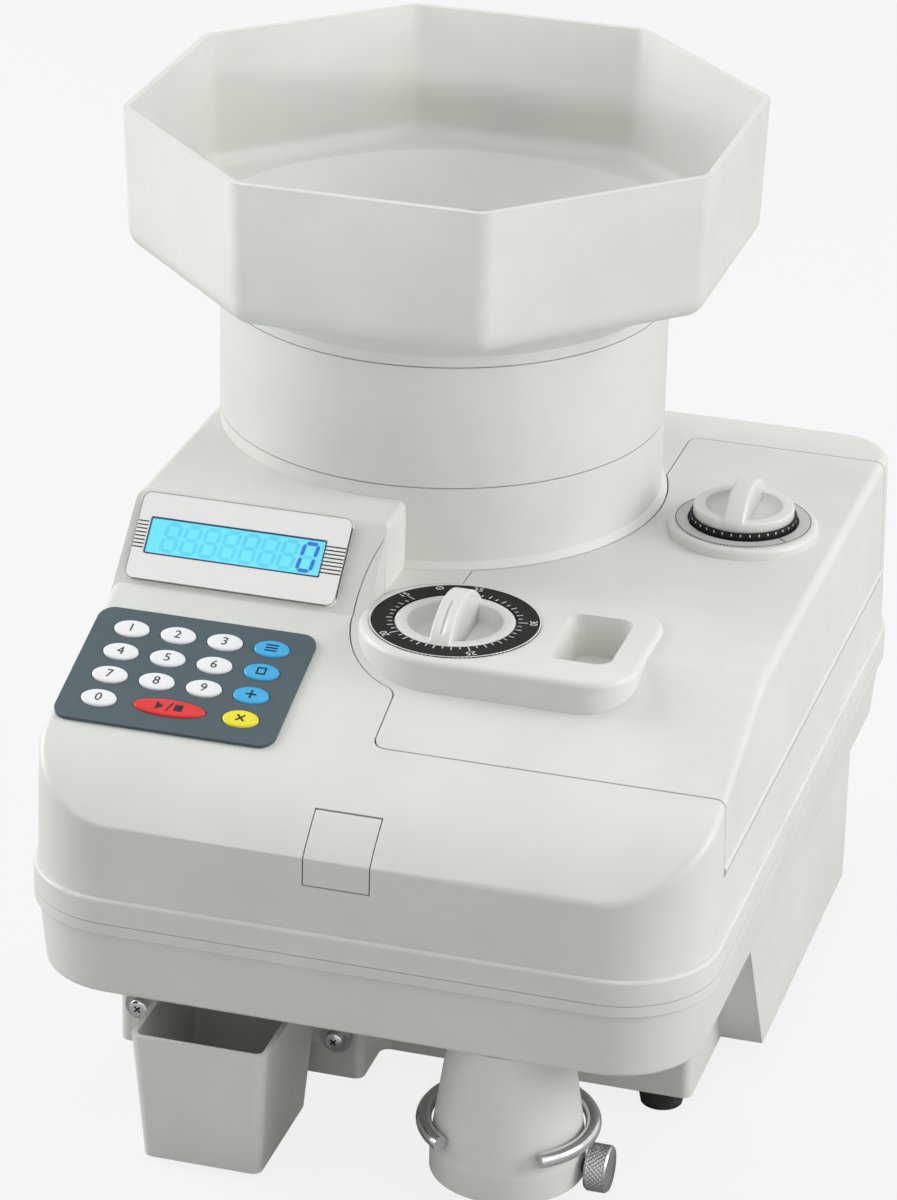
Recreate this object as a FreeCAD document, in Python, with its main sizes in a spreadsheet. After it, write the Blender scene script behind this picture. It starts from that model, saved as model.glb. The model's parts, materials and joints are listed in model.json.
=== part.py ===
import FreeCAD, Part
import math
import os
import re

# Coin sorting machine. Millimetres; the origin is on the table under the
# middle of the machine, +X to its right, +Y to its back and +Z up.

SIZES = [
    ("case_mid", 13), ("case_half", 136), ("case_front", -188.5), ("case_rear", 177.5),
    ("corner", 38), ("rear_corner", 26), ("seam_round", 5), ("wall", 3), ("draft", 2),
    ("edge_round", 4), ("crease_round", 1.5), ("gap", 0.5),
    ("foot_h", 10), ("foot_r", 10.5), ("tray_z", 72), ("tray_round", 2), ("part_z", 105), ("deck_z", 195),
    ("band_up", 10.5), ("band_down", 4.6), ("band_out", 1.5),
    ("slope_y", -77), ("slope_deg", 18.8), ("apron_y", -150), ("apron_z", 145),
    ("col_x", -27.5), ("col_y", 69), ("col_r", 93), ("col_wall", 3.5),
    ("neck_z", 229.7), ("collar_z", 281.7), ("hop_low", 304), ("hop_z", 361),
    ("hop_flat", 246), ("hop_wall", 3), ("throat_wall", 5.2), ("seat_gap", 0.3),
    ("house_right", -15), ("house_z", 224), ("house_deg", 45.5), ("house_back", 90),
    ("lid_front", -141), ("lid_back", 146.5), ("lid_left", 8.5), ("lid_ring", 3),
    ("lid_step", 6.2),
    ("hinge_in", 2.8), ("hinge_z", 143), ("bead_r", 2.6), ("pin_r", 1.2),
    ("dial_x", 20.5), ("dial_y", -72), ("plat_r", 38), ("plat_z", 197.5), ("plat_right", 99.5),
    ("plat_turn", 20),
    ("dial_r", 33.9), ("dial_sink", 1.2), ("dial_t", 1.6), ("dknob_r", 23.9), ("dknob_deep", 8),
    ("tknob_h", 5), ("tknob_up", 2.4), ("lip_w", 5.2), ("dbar_h", 19.5), ("tbar_h", 15),
    ("bar_w", 8.5), ("tub_wall", 2), ("shaft_r", 4),
    ("pocket_x", 61.5), ("pocket_y", -92), ("pocket_w", 26.5), ("pocket_l", 43), ("pocket_d", 17),
    ("pocket_lean", 4),
    ("thick_x", 106), ("thick_y", 57), ("boss_r", 31), ("boss_h", 4.5), ("tknob_r", 20.8), ("well_r", 23),
    ("plate_left", 6), ("plate_w", 88.2), ("plate_l", 37.5), ("plate_t", 1.6),
    ("lcd_w", 74), ("lcd_h", 15.9), ("lcd_side", 5.5), ("lcd_top", 10.5),
    ("pad_left", 3.4), ("pad_w", 90.5), ("pad_l", 63.4), ("pad_top", 14.4), ("pad_t", 1.5), ("pad_land", 3),
    ("key_a", 7.2), ("key_b", 4.5), ("key_left", 16), ("key_right", 16.3),
    ("key_rear", 11), ("key_front", 12.5), ("key_wide", 7.5), ("key_up", 0.9),
    ("latch_x", -4), ("latch_w", 26), ("latch_low", 135), ("latch_high", 159),
    ("spout_x", 72.2), ("spout_y", -161.5), ("spout_r", 30.5), ("spout_top_r", 23.5), ("spout_z", 12),
    ("spout_band", 10.5), ("spout_wall", 3), ("ring_rod", 3.1), ("ring_r", 33), ("ring_z", 32),
    ("ring_half", 37), ("thumb_r", 9.5), ("thumb_z", 17), ("thumb_stem", 3), ("thumb_w", 9),
    ("bin_mid", -45.3), ("bin_front", -192), ("bin_back", -119.5), ("bin_z", 3), ("bin_top", 59),
    ("bin_w", 55.8), ("bin_taper", 3.6), ("bin_wall", 2.2),
    ("ped_front", -89), ("ped_side", 127.5), ("hook_front", -116), ("hook_right", -1.5),
    ("hook_left", -105), ("hook_z", 30.6), ("leg_top", -72.6), ("leg_low", -36), ("leg_back", 119),
    ("plate_z", 150), ("chassis_t", 3), ("disc_r", 82), ("disc_z", 162), ("disc_t", 5),
    ("spindle_r", 6), ("fit", 0.05), ("bear_r", 14), ("pulley_r", 30), ("pulley_z", 110),
    ("pulley_h", 10), ("belt_t", 1.6), ("belt_w", 7), ("belt_off", 0.3),
    ("motor_x", 88), ("motor_y", 60), ("motor_r", 30),
    ("motor_low", 28), ("motor_high", 98), ("drive_r", 12),
    ("drum_r", 3.7), ("rail_x", 44), ("rail_l", 124),
    ("roll_r", 8), ("roll_x", 72), ("roll_y", -20), ("roll_z", 170),
    ("axle_r", 2.5), ("pivot_r", 3), ("head_r", 6), ("slot_w", 3.4), ("slot_l", 7.2),
    ("tongue_w", 2.4), ("tongue_l", 6), ("chassis_left", 15), ("chassis_y", -138), ("chassis_right", 13),
    ("chassis_l", 284), ("stand_left", 13), ("stand_y", -112), ("stand_right", 33), ("stand_py", 240),
    ("stand_w", 10), ("eye_x", 64), ("eye_y", -104), ("board_x", -98), ("board_y", -30), ("board_w", 84),
    ("board_l", 120), ("board_t", 1.6), ("leg_r", 2.5), ("leg_h", 6), ("chute_r", 18.5), ("chute_h", 60),
    ("reject_w", 40), ("reject_l", 24), ("reject_y", -167), ("hook_one", -11), ("hook_two", -94),
    ("screw_r", 2), ("flange_r", 6.5), ("head_small", 3.5), ("foot_x", -90), ("foot_px", 203),
    ("foot_y", -76), ("foot_py", 180), ("inlet_x", 40), ("inlet_z", 125), ("inlet_w", 28), ("inlet_h", 20),
    ("switch_x", 84), ("switch_z", 128), ("switch_w", 21), ("switch_h", 14), ("bezel", 2),
    ("rocker_x", 94.5), ("hang_w", 68), ("hang_post", 8), ("nose_r", 9), ("motor_shaft", 3),
]

doc = FreeCAD.newDocument("CoinSorter")
sheet = doc.addObject("Spreadsheet::Sheet", "Sizes")
for row, (alias, value) in enumerate(SIZES, start=1):
    sheet.set("A%d" % row, alias)
    sheet.set("B%d" % row, str(value))
    sheet.setAlias("B%d" % row, alias)
doc.recompute()
ALIASES = {alias for alias, value in SIZES}
S = {alias: float(getattr(sheet, alias)) for alias in ALIASES}
V = FreeCAD.Vector
CORNERS = [(0, 0), (0, 1), (1, 0), (1, 1)]
nodes = {}


def bound(text):
    """Expression text with every alias pointed at the sheet."""
    return re.sub(r"[a-z][a-z0-9_]*", lambda m: "Sizes." + m[0] if m[0] in ALIASES else m[0], str(text))


def put(obj, x, y, z, tilt=None):
    """Bind a placement; tilt = (y, z, angle) of a frame turned about X."""
    if tilt:
        y0, z0, angle = tilt
        turn = "(%s) * 1 deg" % angle
        obj.Placement = FreeCAD.Placement(V(), FreeCAD.Rotation(V(1, 0, 0), 1))
        obj.setExpression("Placement.Rotation.Angle", bound(angle))
        y, z = ("%s + (%s) * cos(%s) - (%s) * sin(%s)" % (y0, y, turn, z, turn),
                "%s + (%s) * sin(%s) + (%s) * cos(%s)" % (z0, y, turn, z, turn))
    for axis, text in zip("xyz", (x, y, z)):
        obj.setExpression("Placement.Base." + axis, bound(text))
    return obj


def box(name, x, y, z, dx, dy, dz, tilt=None):
    """Block from its low corner and its three lengths."""
    obj = doc.addObject("Part::Box", name)
    for prop, text in (("Length", dx), ("Width", dy), ("Height", dz)):
        obj.setExpression(prop, bound(text))
    return put(obj, x, y, z, tilt)


def rod(name, x, y, z, r, h, along="z"):
    """Cylinder from the centre of its first end."""
    obj = doc.addObject("Part::Cylinder", name)
    obj.setExpression("Radius", bound(r))
    obj.setExpression("Height", bound(h))
    if along == "x":
        obj.Placement = FreeCAD.Placement(V(), FreeCAD.Rotation(V(0, 1, 0), 90))
    if along == "y":
        obj.Placement = FreeCAD.Placement(V(), FreeCAD.Rotation(V(1, 0, 0), -90))
    return put(obj, x, y, z)


def taper(name, x, y, z, r1, r2, h):
    """Cone frustum standing on z."""
    obj = doc.addObject("Part::Cone", name)
    for prop, text in (("Radius1", r1), ("Radius2", r2), ("Height", h)):
        obj.setExpression(prop, bound(text))
    return put(obj, x, y, z)


def oval(name, a, b, h, x, y, z, tilt):
    """Elliptic button body."""
    rim = doc.addObject("Part::Ellipse", name + "_rim")
    rim.setExpression("MajorRadius", bound(a))
    rim.setExpression("MinorRadius", bound(b))
    obj = doc.addObject("Part::Extrusion", name)
    obj.Base = rim
    obj.DirMode = "Custom"
    obj.Dir = V(0, 0, 1)
    obj.setExpression("LengthFwd", bound(h))
    obj.Solid = True
    return put(obj, x, y, z, tilt)


def fuse(name, *parts):
    """Union of several bodies."""
    obj = doc.addObject("Part::MultiFuse", name)
    obj.Shapes = list(parts)
    return obj


def cut(name, base, *tools):
    """Base less the tools."""
    obj = doc.addObject("Part::Cut", name)
    obj.Base = base
    obj.Tool = tools[0] if len(tools) == 1 else fuse(name + "_tools", *tools)
    return obj


def soften(name, base, radius, chosen):
    """Round the edges of base that chosen(edge) picks."""
    doc.recompute()
    obj = doc.addObject("Part::Fillet", name)
    obj.Base = base
    r = S[radius] if radius in S else float(radius)
    obj.Edges = [(i, r, r) for i, e in enumerate(base.Shape.Edges, start=1) if chosen(e)]
    return obj


def node(name, obj):
    """Keep an object as the sub-part of that name."""
    obj.Label = name
    nodes[name] = obj
    return obj


def moulding(name, shape):
    """Keep a moulded shape that primitives do not fit."""
    obj = doc.addObject("Part::Feature", name)
    obj.Shape = shape.removeSplitter()
    return node(name, obj)


def upright(e):
    """True for an edge that runs along Z."""
    d = e.Vertexes[-1].Point - e.Vertexes[0].Point
    return len(e.Vertexes) == 2 and math.hypot(d.x, d.y) < 1e-6


# Case form: drafted rounded prism under an extruded side profile.
def plan(inset, z, x0, x1, y0, y1, r_front, r_rear):
    """Rounded rectangle wire with its own front and rear corner radius."""
    x0, x1, y0, y1 = x0 + inset, x1 - inset, y0 + inset, y1 - inset
    f, b = max(r_front - inset, 2.0), max(r_rear - inset, 2.0)
    bow = 1 - math.sqrt(0.5)
    kf, kb = f * bow, b * bow
    pts = [(x0 + f, y0), (x1 - f, y0), (x1 - kf, y0 + kf), (x1, y0 + f), (x1, y1 - b), (x1 - kb, y1 - kb),
           (x1 - b, y1), (x0 + b, y1), (x0 + kb, y1 - kb), (x0, y1 - b), (x0, y0 + f), (x0 + kf, y0 + kf)]
    p = [V(a, b, z) for a, b in pts]
    edges = []
    for i in range(0, 12, 3):
        edges.append(Part.LineSegment(p[i], p[i + 1]).toShape())
        edges.append(Part.Arc(p[i + 1], p[i + 2], p[(i + 3) % 12]).toShape())
    return Part.Wire(edges)


def loft(z0, z1, inset0, inset1):
    """Case solid between two rounded rectangles."""
    span = (S["case_mid"] - S["case_half"], S["case_mid"] + S["case_half"], S["case_front"], S["case_rear"],
            S["corner"], S["rear_corner"])
    return Part.makeLoft([plan(inset0, z0, *span), plan(inset1, z1, *span)], True, True)


def prism(points, x0, x1):
    """Side profile (y, z) pushed along X; a triple marks an arc's middle."""
    edges = []
    last = V(x0, points[0][0], points[0][1])
    middle = None
    for q in points[1:] + points[:1]:
        here = V(x0, q[0], q[1])
        if len(q) == 3:
            middle = here
            continue
        if middle is None:
            edges.append(Part.LineSegment(last, here).toShape())
        else:
            edges.append(Part.Arc(last, middle, here).toShape())
        last, middle = here, None
    return Part.Face(Part.Wire(edges)).extrude(V(x1 - x0, 0, 0))


def outline(points, z0, z1):
    """Plan (x, y) pushed along Z; a triple marks an arc's middle."""
    edges = []
    last = V(points[0][0], points[0][1], z0)
    middle = None
    for q in points[1:] + points[:1]:
        here = V(q[0], q[1], z0)
        if len(q) == 3:
            middle = here
            continue
        if middle is None:
            edges.append(Part.LineSegment(last, here).toShape())
        else:
            edges.append(Part.Arc(last, middle, here).toShape())
        last, middle = here, None
    return Part.Face(Part.Wire(edges)).extrude(V(0, 0, z1 - z0))


def rounded(shape, radius, chosen):
    """Fillet of the chosen edges."""
    return shape.makeFillet(radius, [e for e in shape.Edges if chosen(e)])


A = math.radians(S["slope_deg"])
LEFT = S["case_mid"] - S["case_half"]
RIGHT = S["case_mid"] + S["case_half"]
HINGE_X = RIGHT - S["hinge_in"]
TOP = S["house_z"] + 20
DRAFT = S["draft"] / (S["deck_z"] - S["part_z"])


def top_profile(inset):
    """Deck, slope and apron arc, moved in by inset."""
    y_a, z_a = S["apron_y"], S["deck_z"] - (S["slope_y"] - S["apron_y"]) * math.tan(A)
    dy, dz = y_a - S["case_front"], z_a - S["apron_z"]
    turn = 2 * (math.atan2(dz, dy) - A)
    big = math.hypot(dy, dz) / (2 * math.sin(turn / 2))
    cy, cz = y_a + big * math.sin(A), z_a - big * math.cos(A)
    r = big - inset
    front = S["case_front"] - 20
    end = A + turn + 0.25

    def on(t):
        return (cy - r * math.sin(t), cz + r * math.cos(t))
    bend = inset * math.tan(A / 2)
    m = on((A + end) / 2)
    last = on(end)
    return [(S["case_rear"] + 20, S["deck_z"] - inset), (S["slope_y"] + bend, S["deck_z"] - inset), on(A),
            (m[0], m[1], 1), last, (front, last[1] - 20), (front, 60), (S["case_rear"] + 20, 60)]


def house_profile(inset):
    """Raised display housing seen from the side."""
    h = math.radians(S["house_deg"])
    y0 = S["slope_y"] + 2
    run = (S["house_z"] - S["deck_z"]) / math.tan(h)
    push = inset / math.sin(h)
    low = S["deck_z"] - 30
    top = S["house_z"] - inset
    back = S["house_back"] - inset
    return [(y0 - (S["deck_z"] - low) / math.tan(h) + push, low),
            (y0 + run + push - inset / math.tan(h), top), (back, top), (back, low)]


def browed(shape, radius, crease, chosen):
    """Rounded top edge that tightens to a crisp crease along the front."""
    form = doc.addObject("Part::Feature", "Form")
    form.Shape = shape
    brow = doc.addObject("Part::Fillet", "Brow")
    brow.Base = form

    def at(point):
        share = (point.y - S["case_front"] - S["wall"]) / S["corner"]
        return crease + (radius - crease) * min(max(share, 0), 1)

    def ends(e):
        spots = [e.valueAt(e.FirstParameter), e.valueAt(e.LastParameter)]
        return [at(p) for p in (spots[::-1] if e.Orientation == "Reversed" else spots)]
    brow.Edges = [(i, *ends(e)) for i, e in enumerate(shape.Edges, start=1) if chosen(e)]
    doc.recompute()
    return brow.Shape


def skin(inset):
    """Closed case form moved in by inset."""
    full = loft(60, TOP, inset - DRAFT * (S["part_z"] - 60), inset + DRAFT * (TOP - S["part_z"]))
    main = full.common(prism(top_profile(inset), LEFT - 30, RIGHT + 30))
    r = max(S["edge_round"] - inset, 1)

    def rise(f, e):
        middle = e.valueAt((e.FirstParameter + e.LastParameter) / 2)
        return abs(f.normalAt(*f.Surface.parameter(middle)).z)

    def brow(e):
        rises = sorted(rise(f, e) for f in main.ancestorsOfType(e, Part.Face))
        return len(rises) == 2 and rises[0] < 0.1 and rises[1] > 0.3 and e.CenterOfMass.z > S["apron_z"] - 12
    main = browed(main, r, min(S["crease_round"], r), brow)
    block = prism(house_profile(inset), LEFT - 30, S["house_right"] - inset)
    block = rounded(block, 9 - inset, lambda e: upright(e) and e.CenterOfMass.x > LEFT)
    block = block.common(full)
    block = rounded(block, r - 0.5, lambda e: e.CenterOfMass.z > S["house_z"] - inset - 0.01)
    return main.fuse(block)


def cylinder(x, y, z0, z1, r):
    """Upright cylinder solid."""
    return Part.makeCylinder(r, z1 - z0, V(x, y, z0))


def lid_region(g):
    """Plan area of the hinged lid, grown by g."""
    x0, y0, y1 = S["lid_left"] - g, S["lid_front"] - g, S["lid_back"] + g
    ring = S["col_r"] + S["lid_ring"] - g
    dx, dy, pr = S["dial_x"], S["dial_y"], S["plat_r"] + 3 + g
    ya = dy - math.sqrt(pr ** 2 - (x0 - dx) ** 2)
    xb = x0 + 3.5
    yb = dy + math.sqrt(pr ** 2 - (xb - dx) ** 2)
    yc = S["col_y"] - math.sqrt(ring ** 2 - (xb - S["col_x"]) ** 2)
    xd = S["col_x"] + ring - S["lid_step"]
    yd = S["col_y"] + math.sqrt(ring ** 2 - (xd - S["col_x"]) ** 2)
    far = RIGHT + 40
    area = outline([(far, y0), (far, y1), (xd, y1), (xd, yd), (S["col_x"] + ring, S["col_y"], 1),
                    (xb, yc), (xb, yb),
                    (dx - pr, dy, 1), (x0, ya), (x0, y0)], S["hinge_z"] - g, TOP)
    bends = ((x0, y0), (xd, y1), (x0, ya))

    def bend(e):
        c = e.CenterOfMass
        return upright(e) and min(math.hypot(c.x - x, c.y - y) for x, y in bends) < 0.01
    return rounded(area, S["seam_round"], bend)


outer = skin(0)
inner = skin(S["wall"])
shell = outer.cut(inner)
CX, CY = S["col_x"], S["col_y"]

# Upper case: shell and flared skirt; openings for column, lid, keypad, display and latch.
upper = shell.cut(cylinder(CX, CY, S["plate_z"], TOP, S["col_r"] + S["fit"]))
upper = upper.cut(Part.makeCone(S["col_r"] + S["fit"] + 2.5, S["col_r"] + S["fit"], 3,
                                V(CX, CY, S["deck_z"])))
above = Part.makeBox(500, 500, 300, V(-250, -250, S["part_z"] + 0.2))
upper = upper.common(above)
z_skirt = S["part_z"] + S["band_up"]
skirt = loft(S["part_z"] + 0.2, z_skirt, -S["band_out"], -S["band_out"])
skirt = rounded(skirt, S["band_out"] - 0.1, lambda e: abs(e.CenterOfMass.z - z_skirt) < 0.01)
skirt = skirt.cut(loft(S["part_z"] - 1, z_skirt + 1, S["wall"] - 0.2, S["wall"] - 0.2))
upper = upper.fuse(skirt)
bead_room = Part.makeCylinder(S["bead_r"] + S["gap"], S["lid_back"] - S["lid_front"] + 2 * S["gap"],
                              V(HINGE_X, S["lid_front"] - S["gap"], S["hinge_z"]), V(0, 1, 0))
upper = upper.cut(lid_region(S["gap"])).cut(bead_room)
slope = FreeCAD.Placement(V(0, S["slope_y"], S["deck_z"]), FreeCAD.Rotation(V(1, 0, 0), S["slope_deg"]))
face = FreeCAD.Placement(V(0, S["slope_y"] + 2, S["deck_z"]), FreeCAD.Rotation(V(1, 0, 0), S["house_deg"]))


def window(x, y, dx, dy, place, deep, up=5.0):
    """Block through a sloping wall."""
    hole = Part.makeBox(dx, dy, deep + up, V(x, y, -deep))
    hole.Placement = place
    return hole


land = S["pad_land"]
upper = upper.cut(window(LEFT + S["pad_left"] + land, land - S["pad_top"] - S["pad_l"],
                         S["pad_w"] - 2 * land, S["pad_l"] - 2 * land, slope, 8))
upper = upper.cut(window(LEFT + S["plate_left"] + land, 2 + land, S["plate_w"] - 2 * land,
                         S["plate_l"] - 2 * land, face, 8))
latch_hole = Part.makeBox(S["latch_w"] + 1, 30, S["latch_high"] - S["latch_low"] + 1,
                          V(S["latch_x"] - 0.5, S["case_front"] - 5, S["latch_low"] - 0.5))
upper = upper.cut(latch_hole)
inlet_hole = Part.makeBox(S["inlet_w"], 20, S["inlet_h"], V(S["inlet_x"], S["case_rear"] - 12, S["inlet_z"]))
switch_hole = Part.makeBox(S["switch_w"], 20, S["switch_h"],
                           V(S["switch_x"], S["case_rear"] - 12, S["switch_z"]))
pin_hole = Part.makeCylinder(S["pin_r"] + S["fit"], 320, V(HINGE_X, -150, S["hinge_z"]), V(0, 1, 0))
lugs = Part.makeBox(8, 7, 8, V(HINGE_X - 5.5, S["lid_front"] - S["gap"] - 7, S["hinge_z"] - 4))
lugs = lugs.fuse(Part.makeBox(8, 7, 8, V(HINGE_X - 5.5, S["lid_back"] + S["gap"],
                                         S["hinge_z"] - 4))).common(outer)
upper = upper.cut([inlet_hole, switch_hole]).fuse(lugs).cut(pin_hole)
moulding("upper_case", upper)

# Lid: the cut-out piece of the shell with platform, pocket, boss and hinge bead.
cover = shell.common(lid_region(0))
cover = cover.common(Part.makeBox(500, 500, 300, V(-250, -250, S["hinge_z"])))
pr, px = S["plat_r"], S["plat_right"]
dx, dy = S["dial_x"], S["dial_y"]


def platform(inset, z1):
    """Raised dial platform, level on top."""
    r = pr - inset
    turn = S["plat_turn"]
    bow = turn * (1 - math.sqrt(0.5))
    far = px - inset
    return outline([(dx, dy - r), (far - turn, dy - r), (far - bow, dy - r + bow, 1), (far, dy - r + turn),
                    (far, dy + r - turn), (far - bow, dy + r - bow, 1), (far - turn, dy + r), (dx, dy + r),
                    (dx - r, dy, 1)], 150, z1)


stage = platform(0, S["plat_z"])
stage = rounded(stage, 3, lambda e: e.CenterOfMass.z > S["plat_z"] - 0.01)
stage_in = platform(S["wall"], S["plat_z"] - S["wall"])
boss = cylinder(S["thick_x"], S["thick_y"], S["deck_z"] - 1, S["deck_z"] + S["boss_h"], S["boss_r"])
boss = rounded(boss, 2, lambda e: e.CenterOfMass.z > S["deck_z"] + 1 and len(e.Vertexes) == 1)
x0, y0 = S["pocket_x"], S["pocket_y"]
x1, y1, lean = x0 + S["pocket_w"], y0 + S["pocket_l"], S["pocket_lean"]
z_low = S["plat_z"] - S["pocket_d"]


def pocket(grow):
    """Finger pocket with leaning walls, grown for its outside."""
    low = plan(-grow, z_low - grow, x0 + lean, x1 - 1, y0 + lean, y1 - 1, 5, 5)
    high = plan(-grow, S["plat_z"] + 0.01, x0, x1, y0, y1, 6, 6)
    return Part.makeLoft([low, high], True, True)


cup = pocket(0)
tub = pocket(2.5).common(Part.makeBox(100, 100, 100, V(x0 - 20, y0 - 20, S["plat_z"] - 100)))
well_z, dial_well_r = S["plat_z"] - S["dknob_deep"] - S["gap"], S["dknob_r"] + S["gap"]
dial_tub = cylinder(dx, dy, well_z - S["tub_wall"], S["plat_z"] - S["dial_sink"],
                    dial_well_r + S["tub_wall"])
cover = cover.fuse(stage.cut(inner)).cut(stage_in).fuse([boss, tub, dial_tub]).cut(cup)
cover = cover.cut(cylinder(dx, dy, well_z, TOP, dial_well_r))
cover = cover.cut(cylinder(S["thick_x"], S["thick_y"], S["deck_z"] + S["gap"] * 3, TOP, S["well_r"]))
for cx, cy in ((dx, dy), (S["thick_x"], S["thick_y"])):
    cover = cover.cut(cylinder(cx, cy, 150, TOP, S["shaft_r"] + S["fit"]))
dial_seat = cylinder(dx, dy, S["plat_z"] - S["dial_sink"], TOP, S["dial_r"] + 2 * S["fit"])
cover = cover.cut(dial_seat)
hinge_len = S["lid_back"] - S["lid_front"]
bead = Part.makeCylinder(S["bead_r"], hinge_len, V(HINGE_X, S["lid_front"], S["hinge_z"]), V(0, 1, 0))
cover = cover.fuse(bead).cut(pin_hole)
moulding("lid_cover", cover)
node("hinge_pin", rod("HingePin", "case_mid + case_half - hinge_in", "lid_front - 6", "hinge_z", "pin_r",
                      "lid_back - lid_front + 12", "y"))

# Lower case: tray, pedestal and bin bracket, all one hollow moulding.
z_rim = S["part_z"] - S["band_down"]


def under(inset):
    """Tray and pedestal form moved in by inset."""
    low = S["tray_z"] + inset
    tray = loft(low, S["part_z"] + inset * 4, inset + 3.0, inset)
    if inset == 0:
        tray = rounded(tray, S["tray_round"], lambda e: abs(e.CenterOfMass.z - low) < 0.01)
    z0, z1 = S["foot_h"] + inset, S["tray_z"] + 4 + inset
    leg = prism([(S["leg_low"] + inset, z0), (S["leg_top"] + inset, z1), (S["leg_back"] - inset, z1),
                 (S["leg_back"] - inset, z0)], LEFT + 4 + inset, RIGHT - 4 - inset)
    ped = Part.makeBox(S["ped_side"] - S["hook_left"] - 2 * inset, 150, z1 - z0,
                       V(S["hook_left"] + inset, S["ped_front"] + inset, z0))
    hook = Part.makeBox(S["hook_right"] - S["hook_left"] - 2 * inset, 60, z1 - z0,
                        V(S["hook_left"] + inset, S["hook_front"] + inset, z0))
    stand = ped.fuse(hook).removeSplitter()
    stand = rounded(stand, 4 - inset, lambda e: upright(e) and e.CenterOfMass.y < 0)
    return tray.fuse([leg, stand])


lower = under(0)
rim = loft(z_rim, S["part_z"], -S["band_out"], -S["band_out"])
lower = lower.fuse(rim).cut(under(S["wall"]))
spout_hole = cylinder(S["spout_x"], S["spout_y"], 60, 90, S["chute_r"])
drop_hole = Part.makeBox(S["reject_w"] + 2, S["reject_l"] + 2, 30,
                         V(S["bin_mid"] - S["reject_w"] / 2 - 1, S["reject_y"] - 1, 60))
lower = lower.cut([spout_hole, drop_hole])
HOOKS = (S["hook_one"], S["hook_two"])
for hx in HOOKS:
    lower = lower.cut(Part.makeCylinder(S["screw_r"], 20, V(hx, S["hook_front"] - 1, S["hook_z"]),
                                        V(0, 1, 0)))
moulding("lower_case", lower)

# Latch: a flush square of the case's own front.
push = outer.common(Part.makeBox(S["latch_w"], 24, S["latch_high"] - S["latch_low"],
                                 V(S["latch_x"], S["case_front"] - 2, S["latch_low"])))
moulding("front_latch", push)

# Hopper: octagon bowl with a funnel to the throat.
def octagon(half, z):
    """Octagon wire with flats on X and Y."""
    r = half / math.cos(math.pi / 8)
    pts = [V(CX + r * math.cos(math.pi / 8 + i * math.pi / 4),
             CY + r * math.sin(math.pi / 8 + i * math.pi / 4), z)
           for i in range(8)]
    return Part.makePolygon(pts + pts[:1])


def bowl(inset):
    """Octagon tub, drafted a little."""
    half = S["hop_flat"] / 2 - inset
    tub8 = Part.makeLoft([octagon(half - 2, S["hop_low"] - 4 + inset),
                          octagon(half, S["hop_z"] + (inset > 0))], True, True)
    tub8 = rounded(tub8, 10 - inset, lambda e: abs(e.Vertexes[-1].Z - e.Vertexes[0].Z) > 20)
    return rounded(tub8, 10 - inset, lambda e: e.CenterOfMass.z < S["hop_low"] - 3 + inset)


z_ring = S["collar_z"] + 5
funnel = Part.makeCone(S["col_r"], S["hop_flat"] / 2 - 16, S["hop_low"] - 4 - z_ring + 1, V(CX, CY, z_ring))
collar = cylinder(CX, CY, S["collar_z"] + 0.4, z_ring, S["col_r"])
spigot_r = S["col_r"] - S["col_wall"] - S["seat_gap"]
throat_r = spigot_r - S["throat_wall"]
spigot = cylinder(CX, CY, S["collar_z"] - 8, z_ring, spigot_r)
hop = bowl(0).fuse([funnel, collar, spigot])
mouth = Part.makeCone(throat_r, S["hop_flat"] / 2 - 14, S["hop_low"] - z_ring + 2, V(CX, CY, z_ring - 2))
hop = hop.cut(bowl(S["hop_wall"])).cut(mouth).cut(cylinder(CX, CY, S["collar_z"] - 20, z_ring, throat_r))
moulding("hopper", hop)

# Column base standing through the deck, and the neck ring between it and the hopper.
base_out = fuse("BaseOut", rod("BaseWall", "col_x", "col_y", "deck_z - 14", "col_r", "neck_z - deck_z + 14"),
                taper("BaseFoot", "col_x", "col_y", "deck_z", "col_r + 2.5", "col_r", "3"))
node("column_base", cut("ColumnBase", base_out, rod("BaseIn", "col_x", "col_y", "deck_z - 15",
                                                    "col_r - col_wall",
                                                   "neck_z - deck_z + 16")))
neck = cut("NeckRing", rod("NeckOut", "col_x", "col_y", "neck_z + 0.4", "col_r", "collar_z - neck_z - 0.4"),
           rod("NeckIn", "col_x", "col_y", "neck_z - 2", "col_r - col_wall", "collar_z - neck_z + 4"))
neck_lip = cut("NeckLip", rod("LipOut", "col_x", "col_y", "neck_z - 6", "col_r - col_wall", "10"),
               rod("LipIn", "col_x", "col_y", "neck_z - 7", "col_r - col_wall - 2", "12"))
node("neck_ring", fuse("Neck", neck, neck_lip))

# Display: plate, window and module on the housing's front face.
FACE = ("slope_y + 2", "deck_z", "house_deg")
PLATE_X = "case_mid - case_half + plate_left"
plate = soften("PlateRound", box("Plate", PLATE_X, "2", "0", "plate_w", "plate_l", "plate_t", FACE), "3.5",
               lambda e: abs(e.Length - S["plate_t"]) < 0.01)
view = box("PlateView", PLATE_X + " + lcd_side", "2 + plate_l - lcd_top - lcd_h", "-1", "lcd_w", "lcd_h",
           "plate_t + 2", FACE)
node("display_plate", cut("DisplayPlate", plate, view))
glass = box("Glass", PLATE_X + " + lcd_side", "2 + plate_l - lcd_top - lcd_h", "-2", "lcd_w", "lcd_h",
            "plate_t + 1.5", FACE)
lcd_back = box("LcdBack", PLATE_X + " + 4", "6", "-4", "plate_w - 8", "plate_l - 8", "4", FACE)
node("lcd_module", fuse("LcdModule", glass, lcd_back))

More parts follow.
